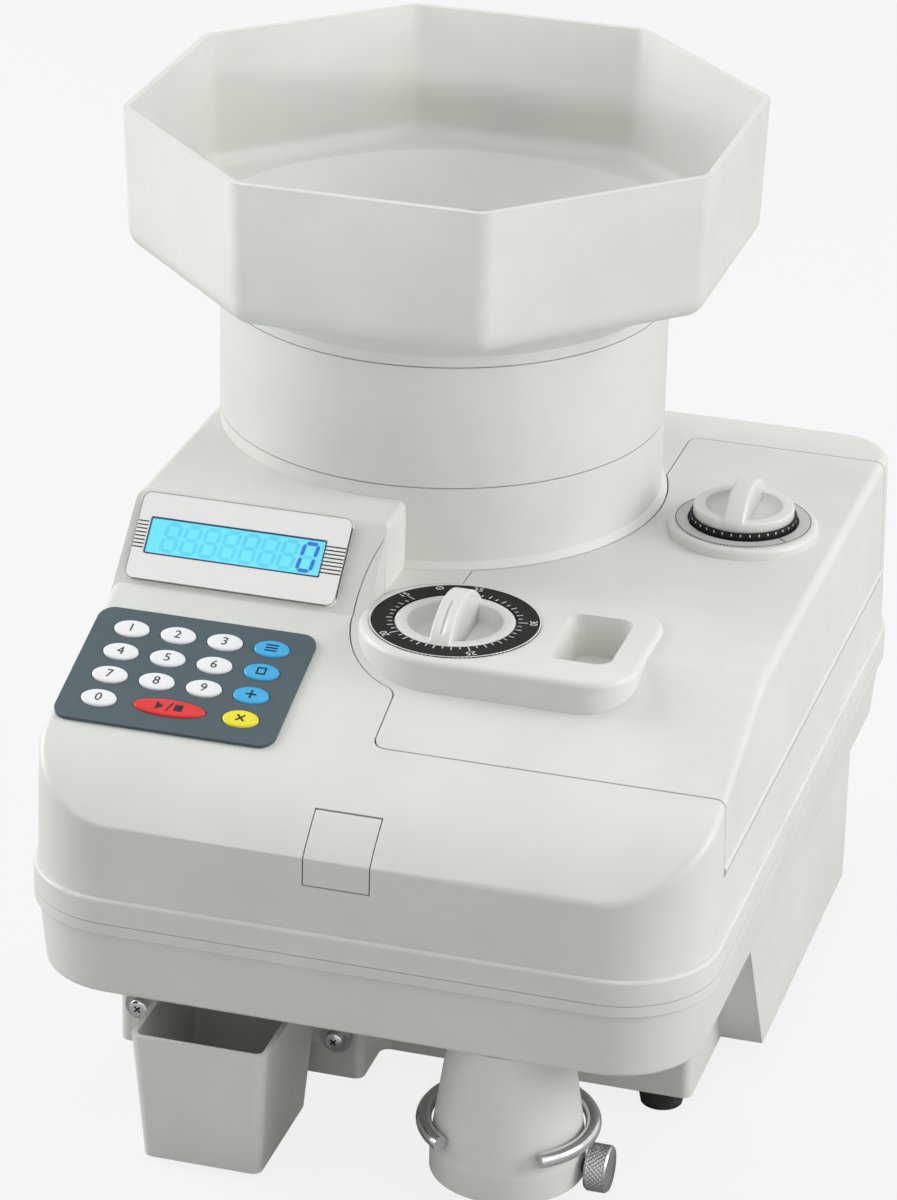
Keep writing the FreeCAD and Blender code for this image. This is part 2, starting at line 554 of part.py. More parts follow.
# Keypad: plate, fifteen sprung keys and the switch board.
SLOPE = ("slope_y", "deck_z", "slope_deg")
PAD_X = "case_mid - case_half + pad_left"
pad = soften("PadRound", box("Pad", PAD_X, "-pad_top - pad_l", "0", "pad_w", "pad_l", "pad_t", SLOPE),
             "6.5",
             lambda e: abs(e.Length - S["pad_t"]) < 0.01)
KEYS = [["1", "2", "3", "mem"], ["4", "5", "6", "set"], ["7", "8", "9", "add"]]
KEY_X = PAD_X + " + key_left + %s * (pad_w - key_left - key_right) / 3"
KEY_Y = "-pad_top - key_rear - %s * (pad_l - key_rear - key_front) / 3"
spots = []
for r, names in enumerate(KEYS):
    for c, key in enumerate(names):
        spots.append((key, KEY_X % c, KEY_Y % r, "key_a"))
for key, c, width in (("0", 0, "key_a"), ("start", 1.5, "key_a + key_wide"), ("clear", 3, "key_a")):
    spots.append((key, KEY_X % c, KEY_Y % 3, width))
holes = []
domes = []
for key, kx, ky, ka in spots:
    holes.append(oval("Hole_" + key, ka + " + 0.3", "key_b + 0.3", "pad_t + 2", kx, ky, "-1", SLOPE))
    domes.append(oval("Dome_" + key, "3", "2.5", "1.5", kx, ky, "-5.5", SLOPE))
    cap = oval("Cap_" + key, ka, "key_b", "key_up + pad_t + 1", kx, ky, "-1", SLOPE)
    brim = oval("Brim_" + key, ka + " + 1", "key_b + 1", "1.4", kx, ky, "-1.8", SLOPE)
    node("key_" + key, fuse("Key_" + key, cap, brim))
node("keypad_plate", cut("KeypadPlate", pad, *holes))
board = box("KeyBoard", PAD_X + " + 6", "-pad_top - pad_l + 6", "-6.6", "pad_w - 12", "pad_l - 12", "1.6",
            SLOPE)
posts = [box("BoardPost%d%d" % (i, j), PAD_X + " + pad_land + %d * (pad_w - 9.5)" % i,
             "-pad_top - pad_l + pad_land + %d * (pad_l - 9.5)" % j,
             "-6.6", "3.5", "3.5", "6.6", SLOPE) for i, j in CORNERS]
node("key_board", fuse("KeyBoardAll", board, *(domes + posts)))

# Diameter dial and knob on the lid.
node("dial_ring", cut("DialRing", rod("DialOut", "dial_x", "dial_y", "plat_z - dial_sink", "dial_r",
                                      "dial_t"),
                      rod("DialIn", "dial_x", "dial_y", "plat_z - 2 * dial_t", "dknob_r + gap",
                          "4 * dial_t")))


def knob(name, x, y, z, r, h, bar, dog):
    """Cup knob with an arched finger bar, a shaft and a driving tongue."""
    hollow_ = taper(name + "In", x, y, z + " + 2", r + " - lip_w - 2", r + " - lip_w", h + " - 2")
    dish = cut(name + "Cup", rod(name + "Out", x, y, z, r, h), hollow_)
    bend = "(%s) * 1.25" % r
    side = x + " - bar_w / 2"
    arch = rod(name + "Arch", side, y, "%s + %s - %s" % (z, bar, bend), bend, "bar_w", "x")
    block = box(name + "Block", side, y + " - (%s)" % r, z, "bar_w", "2 * (%s)" % r, bar)
    blade = doc.addObject("Part::MultiCommon", name + "Blade")
    blade.Shapes = [arch, block, rod(name + "Rim", x, y, z, r + " - 0.4", bar)]
    stem = rod(name + "Stem", x, y, dog, "shaft_r", "%s - (%s) + 1" % (z, dog))
    tongue = box(name + "Tongue", x + " - tongue_w / 2", y + " - tongue_l / 2", "%s - 3" % dog,
                 "tongue_w", "tongue_l", "4")
    return fuse(name, dish, blade, stem, tongue)


node("diameter_knob", knob("DiaKnob", "dial_x", "dial_y", "plat_z - dknob_deep", "dknob_r",
                           "dknob_deep + dial_t - dial_sink", "dbar_h", "plat_z - 11"))
label = rod("ThickRingOut", "thick_x", "thick_y", "deck_z + boss_h", "boss_r - 3", "0.6")
node("thickness_ring", cut("ThickRing", label, rod("ThickRingIn", "thick_x", "thick_y", "deck_z",
                                                   "well_r", "boss_h + 3")))
t_skirt = rod("ThickSkirt", "thick_x", "thick_y", "deck_z + 2", "tknob_r + 1.2", "boss_h + tknob_up - 1")
t_knob = knob("ThickKnob", "thick_x", "thick_y", "deck_z + boss_h + tknob_up", "tknob_r", "tknob_h",
              "tbar_h", "deck_z - 9")
node("thickness_knob", fuse("ThickKnobAll", t_skirt, t_knob))

# Gauge drum, rail and thickness gate under the lid.
slot = box("DrumSlot", "dial_x - slot_w / 2", "dial_y - slot_l / 2", "plat_z - 14.5", "slot_w", "slot_l",
           "10")
drum_head = rod("DrumHead", "dial_x", "dial_y", "plat_z - 20", "head_r", "8.6")
drum = fuse("DrumAll", rod("DrumStem", "dial_x", "dial_y", "plate_z - 3", "pivot_r", "plat_z - plate_z - 16"),
            rod("Drum", "dial_x", "dial_y", "plate_z + 14", "drum_r", "10"), drum_head)
node("gauge_drum", cut("GaugeDrum", drum, slot))
rail = box("Rail", "rail_x", "-120", "plate_z + chassis_t + 0.4", "5", "rail_l", "12")
arm = box("RailArm", "dial_x - 14", "dial_y + drum_r + 0.3", "plate_z + 15", "rail_x - dial_x + 15", "6", "8")
step = box("RailStep", "rail_x", "dial_y + drum_r + 0.3", "plate_z + 10", "5", "6", "13")
node("gauge_rail", fuse("GaugeRail", rail, arm, step))
gate_slot = box("GateSlot", "thick_x - slot_w / 2", "thick_y - slot_l / 2", "deck_z - 12.5", "slot_w",
                "slot_l", "10")
gate_rod = rod("GateRod", "thick_x", "thick_y", "plate_z - 3", "pivot_r", "deck_z - plate_z - 12")
gate_head = rod("GateHead", "thick_x", "thick_y", "deck_z - 18", "head_r", "8.6")
node("thickness_screw", cut("ThickScrew", fuse("ThickScrewAll", gate_rod, gate_head), gate_slot))
gate = box("GateArm", "rail_x + 16.5", "thick_y - 6", "plate_z + 15", "thick_x - rail_x - 8.5", "12", "5")
shoe = box("GateShoe", "rail_x + 16.5", "thick_y - 6", "plate_z + 9", "14", "12", "8")
node("thickness_gate", cut("ThickGate", fuse("ThickGateAll", gate, shoe),
                           rod("GateBore", "thick_x", "thick_y", "plate_z + 10", "pivot_r + fit", "20")))

# Chassis, feed disc, spindle, belt drive and motor.
chassis = box("Chassis", "case_mid - case_half + chassis_left", "chassis_y", "plate_z",
              "2 * case_half - chassis_left - chassis_right", "chassis_l", "chassis_t")
node("chassis_plate", cut("ChassisPlate", chassis, rod("HubHole", "col_x", "col_y", "plate_z - 1",
                                                       "bear_r", "6"),
                          rod("DrumHole", "dial_x", "dial_y", "plate_z - 1", "pivot_r + fit", "6"),
                          rod("GateHole", "thick_x", "thick_y", "plate_z - 1", "pivot_r + fit", "6"),
                          box("RejectHole", "bin_mid - 19", "-137", "plate_z - 1", "38", "22", "6")))
disc_plate = rod("DiscPlate", "col_x", "col_y", "disc_z", "disc_r", "disc_t")
disc_cone = taper("DiscCone", "col_x", "col_y", "disc_z + disc_t", "22", "7", "14")
disc_ribs = [box("DiscRib%d" % i, "col_x - 3 + %s" % a, "col_y - 3 + %s" % b, "disc_z + disc_t", "6", "6",
                 "3")
             for i, (a, b) in enumerate((("55", "0"), ("-27.5", "47.6"), ("-27.5", "-47.6")))]
node("feed_disc", cut("FeedDisc", fuse("FeedDiscAll", disc_plate, disc_cone, *disc_ribs),
                      rod("DiscBore", "col_x", "col_y", "disc_z - 1", "spindle_r", "disc_t + 1")))
shaft = rod("Spindle", "col_x", "col_y", "pulley_z - 3", "spindle_r", "disc_z + disc_t - pulley_z + 3")
node("spindle", fuse("SpindleAll", shaft, rod("DiscPulley", "col_x", "col_y", "pulley_z", "pulley_r",
                                              "pulley_h")))
tube = rod("BearTube", "col_x", "col_y", "pulley_z + 13", "bear_r", "disc_z - pulley_z - 14")
flange = rod("BearFlange", "col_x", "col_y", "plate_z - 4", "bear_r + 9", "4")
node("spindle_bearing", cut("Bearing", fuse("BearingAll", tube, flange),
                            rod("BearBore", "col_x", "col_y", "pulley_z + 12", "spindle_r + fit", "50")))
ring_solid = cut("GuideRingAll", rod("GuideOut", "col_x", "col_y", "plate_z + chassis_t", "disc_r + 4.5",
                                     "26"),
                 rod("GuideIn", "col_x", "col_y", "plate_z + chassis_t - 1", "disc_r + 2", "28"))
exit_gap = box("GuideGap", "col_x + 60", "col_y - 45", "disc_z - 2", "40", "40", "30")
node("guide_ring", cut("GuideRing", ring_solid, exit_gap))
can = rod("MotorCan", "motor_x", "motor_y", "motor_low", "motor_r", "motor_high - motor_low")
nose = rod("MotorNose", "motor_x", "motor_y", "motor_high", "nose_r", "3")
node("motor", cut("Motor", fuse("MotorAll", can, nose),
                  rod("MotorBore", "motor_x", "motor_y", "motor_high - 20", "motor_shaft + fit", "30")))
hang = box("HangPlate", "motor_x - hang_w / 2", "motor_y - hang_w / 2", "motor_high", "hang_w", "hang_w", "3")
hang_posts = []
for i, j in CORNERS:
    x, y = ("motor_%s - hang_w / 2 + %d * (hang_w - hang_post)" % pair for pair in (("x", i), ("y", j)))
    hang_posts.append(box("HangPost%d%d" % (i, j), x, y, "motor_high + 3", "hang_post", "hang_post",
                          "plate_z - motor_high - 3"))
node("motor_bracket", cut("MotorBracket", fuse("MotorBracketAll", hang, *hang_posts),
                          rod("NoseHole", "motor_x", "motor_y", "motor_high - 1", "nose_r", "6")))
node("motor_pulley", fuse("MotorPulley", rod("DrivePulley", "motor_x", "motor_y", "pulley_z", "drive_r",
                                             "pulley_h"),
                          rod("MotorShaft", "motor_x", "motor_y", "motor_high - 18", "motor_shaft",
                              "pulley_z - motor_high + 20")))
SPAN = math.hypot(S["motor_x"] - CX, S["motor_y"] - CY)
TILT = math.atan2(S["motor_y"] - CY, S["motor_x"] - CX)


def belt_loop(extra):
    """Two pulley arcs joined by their outer tangents."""
    r1, r2 = S["pulley_r"] + extra, S["drive_r"] + extra
    lean = math.acos((r1 - r2) / SPAN)

    def at(cx, cy, r, t):
        return (cx + r * math.cos(TILT + t), cy + r * math.sin(TILT + t))
    far = at(CX, CY, r1, math.pi)
    near = at(S["motor_x"], S["motor_y"], r2, 0)
    edge = (S["pulley_h"] - S["belt_w"]) / 2
    return outline([at(CX, CY, r1, lean), (far[0], far[1], 1), at(CX, CY, r1, -lean),
                    at(S["motor_x"], S["motor_y"], r2, -lean), (near[0], near[1], 1),
                    at(S["motor_x"], S["motor_y"], r2, lean)],
                   S["pulley_z"] + edge, S["pulley_z"] + S["pulley_h"] - edge)


moulding("drive_belt", belt_loop(S["belt_off"] + S["belt_t"]).cut(belt_loop(S["belt_off"])))
STAND_X = "case_mid - case_half + stand_left + %d * (2 * case_half - stand_left - stand_right)"
stands = [box("Stand%d%d" % (i, j), STAND_X % i, "stand_y + %d * stand_py" % j, "tray_z + wall",
              "stand_w", "stand_w", "plate_z - tray_z - wall") for i, j in CORNERS]
node("chassis_posts", fuse("ChassisPosts", *stands))
roller = rod("Roller", "roll_x", "roll_y", "roll_z", "roll_r", "20", "x")
node("feed_roller", fuse("FeedRoller", roller, rod("RollAxle", "roll_x - 8", "roll_y", "roll_z", "axle_r",
                                                   "36", "x")))
cheeks = [box("Cheek%d" % i, "roll_x - 6 + %d * 28" % i, "roll_y - 6", "plate_z + chassis_t", "4", "12", "24")
          for i in (0, 1)]
node("roller_bracket", cut("RollerBracket", fuse("Cheeks", *cheeks),
                           rod("RollBore", "roll_x - 12", "roll_y", "roll_z", "axle_r + fit", "50", "x")))
eye = box("Eye", "eye_x", "eye_y", "plate_z + chassis_t", "30", "12", "20")
node("count_sensor", cut("CountSensor", eye,
                         box("EyeSlot", "eye_x - 4", "eye_y - 1", "plate_z + chassis_t + 4", "28", "14",
                             "8")))
BOARD_LOW, BOARD_TOP = "foot_h + wall + leg_h", "foot_h + wall + leg_h + board_t"
circuit = box("Circuit", "board_x", "board_y", BOARD_LOW, "board_w", "board_l", "board_t")
coils = box("Transformer", "board_x + 6", "board_y + 6", BOARD_TOP, "40", "34", "30")
caps = [rod("Cap%d" % i, "board_x + 66", "board_y + 18 + %d * 22" % i, BOARD_TOP, "7", "18") for i in (0, 1)]
legs = [rod("BoardLeg%d%d" % (i, j), "board_x + 4 + %d * (board_w - 8)" % i,
            "board_y + 4 + %d * (board_l - 8)" % j,
            "foot_h + wall", "leg_r", "leg_h + 0.5") for i, j in CORNERS]
node("main_board", fuse("MainBoard", circuit, coils, *(caps + legs)))

# Coin and reject ways, spout, bag ring, thumb screw.
node("coin_chute", cut("CoinChute", rod("ChuteOut", "spout_x", "spout_y", "tray_z + wall", "chute_r + 2",
                                        "chute_h"),
                       rod("ChuteIn", "spout_x", "spout_y", "tray_z + wall - 1", "chute_r", "chute_h + 2")))
reject = fuse("RejectAll", box("RejectOut", "bin_mid - reject_w / 2", "reject_y", "tray_z", "reject_w",
                               "reject_l", "70"),
              box("RejectFlange", "bin_mid - reject_w / 2 - 5", "reject_y - 5", "tray_z + wall",
                  "reject_w + 10",
                  "reject_l + 10", "2"))
node("reject_chute", cut("RejectChute", reject, box("RejectIn", "bin_mid - reject_w / 2 + 1.5",
                                                    "reject_y + 1.5", "tray_z - 1",
                                                   "reject_w - 3", "reject_l - 3", "72")))
sleeve = fuse("SpoutTube", rod("SpoutBand", "spout_x", "spout_y", "spout_z", "spout_r", "spout_band"),
              taper("SpoutCone", "spout_x", "spout_y", "spout_z + spout_band", "spout_r", "spout_top_r",
                    "tray_z - spout_z - spout_band"))
BORE = "spout_r - spout_wall"
hollow = fuse("SpoutHollow", rod("SpoutBore", "spout_x", "spout_y", "spout_z - 1", BORE, "spout_band + 1"),
              taper("SpoutConeIn", "spout_x", "spout_y", "spout_z + spout_band", BORE,
                    "spout_top_r - spout_wall",
                    "tray_z - spout_z - spout_band"))
thumb_hole = rod("ThumbHole", "spout_x + 20", "spout_y", "thumb_z", "thumb_stem + fit", "30", "x")
node("spout", cut("Spout", sleeve, hollow, thumb_hole))
stem = rod("ThumbStem", "spout_x + spout_r - spout_wall + gap", "spout_y", "thumb_z", "thumb_stem",
           "thumb_w", "x")
node("thumb_screw", fuse("ThumbScrew", stem, rod("ThumbHead", "spout_x + spout_r + 2", "spout_y",
                                                 "thumb_z", "thumb_r",
                                                "thumb_w", "x")))
gap_deg = S["ring_half"]
ring_mid = V(S["spout_x"], S["spout_y"], S["ring_z"])
hoop = Part.makeTorus(S["ring_r"], S["ring_rod"], ring_mid, V(0, 0, 1), 0, 360, 360 - 2 * gap_deg)
hoop.rotate(ring_mid, V(0, 0, 1), -90 + gap_deg)
moulding("bag_ring", hoop)

# Reject bin on two shouldered screws.
def bin_form(inset):
    """Tapered bin, larger at the top."""
    z0, z1 = S["bin_z"] + inset, S["bin_top"] + (1 if inset else 0)
    x0, x1 = S["bin_mid"] - S["bin_w"] / 2, S["bin_mid"] + S["bin_w"] / 2
    k = S["bin_taper"]
    low = plan(inset, z0, x0 + k, x1 - k, S["bin_front"] + 5, S["bin_back"] - 9, 4, 4)
    high = plan(inset, z1, x0, x1, S["bin_front"], S["bin_back"], 5, 5)
    return Part.makeLoft([low, high], True, True)


tub_bin = bin_form(0).cut(bin_form(S["bin_wall"]))
mid, back, hz = S["bin_mid"], S["bin_back"], S["hook_z"]
ears = Part.makeBox(92, 2.2, 10, V(-99, back + 0.1, hz - 5))
ears = ears.fuse(Part.makeBox(44, 8, 10, V(mid - 22, back - 5.7, hz - 5))).cut(bin_form(S["bin_wall"]))
for hx in HOOKS:
    ears = ears.cut(Part.makeBox(4.8, 6, 5, V(hx - 2.4, back - 1, hz - 5)))
    ears = ears.cut(Part.makeCylinder(2.4, 6, V(hx, back - 1, hz), V(0, 1, 0)))
moulding("reject_bin", tub_bin.fuse(ears))
screws = []
for i, hx in enumerate(("hook_one", "hook_two")):
    screws.append(rod("HookShank%d" % i, hx, "bin_back - 1", "hook_z", "screw_r",
                      "hook_front - bin_back + 13", "y"))
    screws.append(rod("HookFlange%d" % i, hx, "bin_back - 1.9", "hook_z", "flange_r", "1.6", "y"))
    screws.append(rod("HookHead%d" % i, hx, "bin_back - 4.9", "hook_z", "head_small", "3.2", "y"))
node("bin_screws", fuse("BinScrews", *screws))
feet = [taper("Foot%d%d" % (i, j), "foot_x + %d * foot_px" % i, "foot_y + %d * foot_py" % j, "0",
              "foot_r - 2", "foot_r", "foot_h") for i, j in CORNERS]
node("rubber_feet", fuse("Feet", *feet))

# Mains inlet and rocker on the back wall.
PLAY = "0.3"
inlet = fuse("InletAll", box("InletBody", "inlet_x + " + PLAY, "case_rear - 24", "inlet_z + " + PLAY,
                             "inlet_w - 0.6", "25",
                             "inlet_h - 0.6"),
             box("InletFace", "inlet_x - 3", "case_rear", "inlet_z - 3", "inlet_w + 6", "bezel",
                 "inlet_h + 6"))
pins = [box("InletPin%d" % i, "inlet_x + %s" % x, "case_rear - 16", "inlet_z + %s" % z, "2", "14", "5")
        for i, (x, z) in enumerate((("6", "5"), ("13", "10.5"), ("20", "5")))]
socket = cut("InletSocket", inlet, box("InletHole", "inlet_x + 2", "case_rear - 14", "inlet_z + 2",
                                       "inlet_w - 4", "20",
                                       "inlet_h - 4"))
node("mains_inlet", fuse("MainsInlet", socket, *pins))
body = fuse("SwitchFrameBody", box("SwitchBody", "switch_x + " + PLAY, "case_rear - 16", "switch_z + " + PLAY,
                                   "switch_w - 0.6", "17", "switch_h - 0.6"),
            box("SwitchFace", "switch_x - 2", "case_rear", "switch_z - 2", "switch_w + 4", "bezel",
                "switch_h + 4"))
well = box("SwitchWell", "switch_x + 2", "case_rear - 9", "switch_z + 2", "switch_w - 4", "20",
           "switch_h - 4")
node("switch_frame", cut("SwitchFrame", body, well, rod("RockerHole", "rocker_x", "case_rear - 3",
                                                        "switch_z", "1 + fit",
                                                        "switch_h")))
rocker = rod("RockerBarrel", "rocker_x", "case_rear - 3", "switch_z + 2.4", "4", "switch_h - 4.8")
wing = box("RockerWing", "rocker_x - 7", "case_rear - 2.5", "switch_z + 2.4", "14", "5", "switch_h - 4.8")
pivot = rod("RockerPin", "rocker_x", "case_rear - 3", "switch_z + 0.8", "1", "switch_h - 1.6")
node("power_rocker", fuse("PowerRocker", rocker, wing, pivot))

doc.recompute()
os.makedirs("parts", exist_ok=True)
for name, obj in nodes.items():
    if "Invalid" in obj.State or "Error" in obj.State:
        raise RuntimeError(name + " did not compute")
    if obj.Shape.isNull() or not obj.Shape.isValid() or not obj.Shape.Solids:
        raise RuntimeError(name + " has no valid solid")
for obj in doc.Objects:
    if "Invalid" in obj.State or "Error" in obj.State:
        raise RuntimeError(obj.Name + " did not compute")
for name, obj in nodes.items():
    obj.Shape.exportStep("parts/%s.step" % name)
print("%d parts" % len(nodes))
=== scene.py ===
# %% [markdown]
# # A table-top coin sorting machine
# The solids of the machine come in already measured and jointed, so this lesson is about its looks.
# Each cell takes one real piece, says what it is and how it was made, and builds it as a surface
# worked out with numpy. Everything is in metres, with the front of the machine towards -Y.

# %% Load the frame
import bpy
import json
import math
import numpy as np
from mathutils import Matrix, Vector


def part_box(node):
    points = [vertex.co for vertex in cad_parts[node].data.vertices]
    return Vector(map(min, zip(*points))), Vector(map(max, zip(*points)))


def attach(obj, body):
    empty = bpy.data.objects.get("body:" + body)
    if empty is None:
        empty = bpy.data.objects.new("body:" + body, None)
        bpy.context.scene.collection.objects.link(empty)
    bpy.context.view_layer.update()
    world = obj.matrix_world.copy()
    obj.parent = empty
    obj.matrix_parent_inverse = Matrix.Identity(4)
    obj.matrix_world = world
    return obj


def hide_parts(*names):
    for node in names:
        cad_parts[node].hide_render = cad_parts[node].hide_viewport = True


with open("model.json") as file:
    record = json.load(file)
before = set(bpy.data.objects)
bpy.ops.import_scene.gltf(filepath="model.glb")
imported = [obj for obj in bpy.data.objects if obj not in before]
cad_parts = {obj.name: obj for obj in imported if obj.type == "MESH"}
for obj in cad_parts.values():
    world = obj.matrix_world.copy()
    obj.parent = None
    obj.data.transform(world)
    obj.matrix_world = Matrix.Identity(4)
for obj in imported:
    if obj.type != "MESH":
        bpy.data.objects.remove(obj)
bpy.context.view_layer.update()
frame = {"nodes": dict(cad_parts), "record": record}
nodes = frame["nodes"]
MM = 0.001
TAU = 2 * math.pi

# %% [markdown]
# ## Camera
# A product photograph like this is taken with a long lens, so parallel edges hardly converge. The
# camera is placed by its point and its two angles, and leans by a degree, as a hand-held one does. The
# lens is given for a 36 mm frame along the picture's long side.

# %% Camera
CAMERA_AT = Vector((0.4790, -1.6792, 0.9755))
TURN, TILT, LEAN = (math.radians(a) for a in (16.02, 24.705, 1.29))
LENS = 140.9
ahead = Vector((-math.sin(TURN) * math.cos(TILT), math.cos(TURN) * math.cos(TILT), -math.sin(TILT)))
level = Vector((math.cos(TURN), math.sin(TURN), 0.0))
upward = level.cross(ahead)
side = level * math.cos(LEAN) + upward * math.sin(LEAN)
upward = side.cross(ahead)
camera = bpy.data.objects.new("camera", bpy.data.cameras.new("camera"))
camera.data.lens = LENS
camera.data.sensor_width = 36
camera.data.clip_end = 50
camera.matrix_world = Matrix((
    (side.x, upward.x, -ahead.x, CAMERA_AT.x),
    (side.y, upward.y, -ahead.y, CAMERA_AT.y),
    (side.z, upward.z, -ahead.z, CAMERA_AT.z),
    (0, 0, 0, 1)))
bpy.context.scene.collection.objects.link(camera)
bpy.context.scene.camera = camera
bpy.context.scene.view_settings.view_transform = "Standard"
print("camera", tuple(CAMERA_AT), "lens", LENS)

# %% [markdown]
# ## Tools for materials
# A colour is written as the sRGB hex value that a paint chart would give, and one function turns it to
# the linear numbers a shader needs. A second small function adds any node with its settings and links.

# %% Colour and node helpers


def linear(code):
    """sRGB hex to linear: below 0.04045 divide by 12.92, above it ((c + 0.055) / 1.055) to the power 2.4."""
    c = np.array([int(code[i:i + 2], 16) for i in (1, 3, 5)]) / 255
    return (*np.where(c <= 0.04045, c / 12.92, ((c + 0.055) / 1.055) ** 2.4), 1.0)


def add(tree, kind, inputs=None, **settings):
    """One node: its settings, then its inputs, each a plain value or another node's output socket."""
    made = tree.nodes.new(kind)
    for key, value in settings.items():
        setattr(made, key, value)
    for key, value in (inputs or {}).items():
        if isinstance(value, bpy.types.NodeSocket):
            tree.links.new(value, made.inputs[key])
        else:
            made.inputs[key].default_value = value
    return made


def material(name):
    """An empty node material, with its tree and its Principled shader."""
    made = bpy.data.materials.new(name)
    made.use_nodes = True
    return made, made.node_tree, made.node_tree.nodes["Principled BSDF"]


# %% [markdown]
# ## Moulded plastic
# The case is warm light grey ABS from a spark-eroded mould: a satin skin whose grain, about half a
# millimetre, also breaks up its gloss, and a tone that drifts slowly across a part. The grain is drawn at
# 0.7 mm so that it still shows at this distance. Films and inks are the same skin with less shine, and a
# bevel in the shading softens each edge as a mould's does.

# %% Plastics


def moulded(name, code, rough=0.42, grain_mm=0.7, depth_mm=0.02, drift=0.035, edge_mm=0.4, shine=0.5):
    """Satin moulded plastic: slow drift of tone, spark-eroded grain in gloss and relief, softened edges."""
    made, tree, shader = material(name)
    where = add(tree, "ShaderNodeTexCoord").outputs["Object"]
    slow = add(tree, "ShaderNodeTexNoise", {"Vector": where, "Scale": 1 / (45.45 * MM), "Detail": 3.0})
    fine = add(tree, "ShaderNodeTexNoise", {"Vector": where, "Scale": 1 / (grain_mm * MM), "Detail": 2.0})
    base = np.array(linear(code)[:3])
    tone = add(tree, "ShaderNodeValToRGB", {"Fac": slow.outputs["Fac"]})
    for stop, place, share in zip(tone.color_ramp.elements, (0.3, 0.7), (1 - drift, 1 + drift)):
        stop.position = place
        stop.color = (*np.clip(base * share, 0, 1), 1.0)
    gloss = add(tree, "ShaderNodeMapRange",
                {"Value": fine.outputs["Fac"], "To Min": rough - 0.05, "To Max": rough + 0.07})
    edge = add(tree, "ShaderNodeBevel", {"Radius": edge_mm * MM}, samples=4)
    relief = add(tree, "ShaderNodeBump", {"Height": fine.outputs["Fac"], "Distance": depth_mm * MM,
                                          "Strength": 0.35, "Normal": edge.outputs["Normal"]})
    tree.links.new(tone.outputs["Color"], shader.inputs["Base Color"])
    tree.links.new(gloss.outputs["Result"], shader.inputs["Roughness"])
    tree.links.new(relief.outputs["Normal"], shader.inputs["Normal"])
    shader.inputs["IOR"].default_value = 1.53
    shader.inputs["Specular IOR Level"].default_value = shine
    return made


case_abs = moulded("case_abs_warm_grey", "#DFE1DB")
knob_abs = moulded("knob_abs_warm_grey", "#E4E6E1", rough=0.36)
plate_film = moulded("display_film_white", "#FAFBF9", rough=0.30, grain_mm=0.4, drift=0.01)
pad_film = moulded("keypad_film_slate", "#505F66", rough=0.46, grain_mm=0.5, drift=0.05, shine=0.25)
key_white = moulded("key_film_white", "#F2F4F6", rough=0.34, drift=0.01)
key_blue = moulded("key_film_blue", "#35AEE6", rough=0.34, drift=0.02)
key_red = moulded("key_film_red", "#E3201B", rough=0.34, drift=0.02)
key_yellow = moulded("key_film_yellow", "#F2E81A", rough=0.34, drift=0.02)
dial_film = moulded("dial_film_black", "#121310", rough=0.6, grain_mm=0.5, drift=0.1, shine=0.22)
scale_film = moulded("scale_film_grey", "#C3C6C3", rough=0.38, grain_mm=0.5, drift=0.02)
# Black nylon for the fittings; the same black also paints the shade in the screws' cross recesses.
black_nylon_and_recess_shade = moulded("fitting_nylon_black_and_recess_shade", "#1B1B1B", rough=0.5, drift=0.1)
board_green = moulded("circuit_board_green", "#1D5B34", rough=0.35, drift=0.2)
print_white = moulded("scale_print_white", "#EDEEEA", rough=0.5, drift=0.01)
print_dark = moulded("legend_print_charcoal", "#2E3133", rough=0.5, drift=0.05, shine=0.2)
print_ink = moulded("legend_print_navy", "#1F3038", rough=0.5, drift=0.05, shine=0.2)
bezel_ink = moulded("bezel_print_navy", "#24345A", rough=0.4, drift=0.05)
# A grey frame round the display plate: painted shade for the gap between plate and case.
gap_shade_grey = moulded("plate_gap_painted_shade", "#8F928E", rough=0.5, drift=0.05)
print("plastics and inks", len(bpy.data.materials))

# %% [markdown]
# ## Metal, rubber and the lit display
# Turned and rolled steel carries fine lines along its working direction, chrome is smooth with a little
# haze, rubber is dull with a dusty mottle. The display is a backlit liquid crystal: the film behind the
# glass glows, brightest in the middle, so its colour is given to the shader's emission as well.

# %% Metals, rubber, display


def metal(name, code, rough, line_mm=0.5, along="X", relief_mm=0.004):
    """Metal with brushed lines: noise stretched 40 times along one axis changes gloss and relief."""
    made, tree, shader = material(name)
    where = add(tree, "ShaderNodeTexCoord").outputs["Object"]
    stretch = {"X": (0.025, 1, 1), "Y": (1, 0.025, 1), "Z": (1, 1, 0.025)}[along]
    turned = add(tree, "ShaderNodeMapping", {"Vector": where, "Scale": stretch})
    lines = add(tree, "ShaderNodeTexNoise",
                {"Vector": turned.outputs["Vector"], "Scale": 1 / (line_mm * MM), "Detail": 3.0})
    gloss = add(tree, "ShaderNodeMapRange",
                {"Value": lines.outputs["Fac"], "To Min": rough * 0.7, "To Max": rough * 1.4})
    relief = add(tree, "ShaderNodeBump",
                 {"Height": lines.outputs["Fac"], "Distance": relief_mm * MM, "Strength": 0.3})
    shader.inputs["Base Color"].default_value = linear(code)
    shader.inputs["Metallic"].default_value = 1.0
    tree.links.new(gloss.outputs["Result"], shader.inputs["Roughness"])
    tree.links.new(relief.outputs["Normal"], shader.inputs["Normal"])
    return made


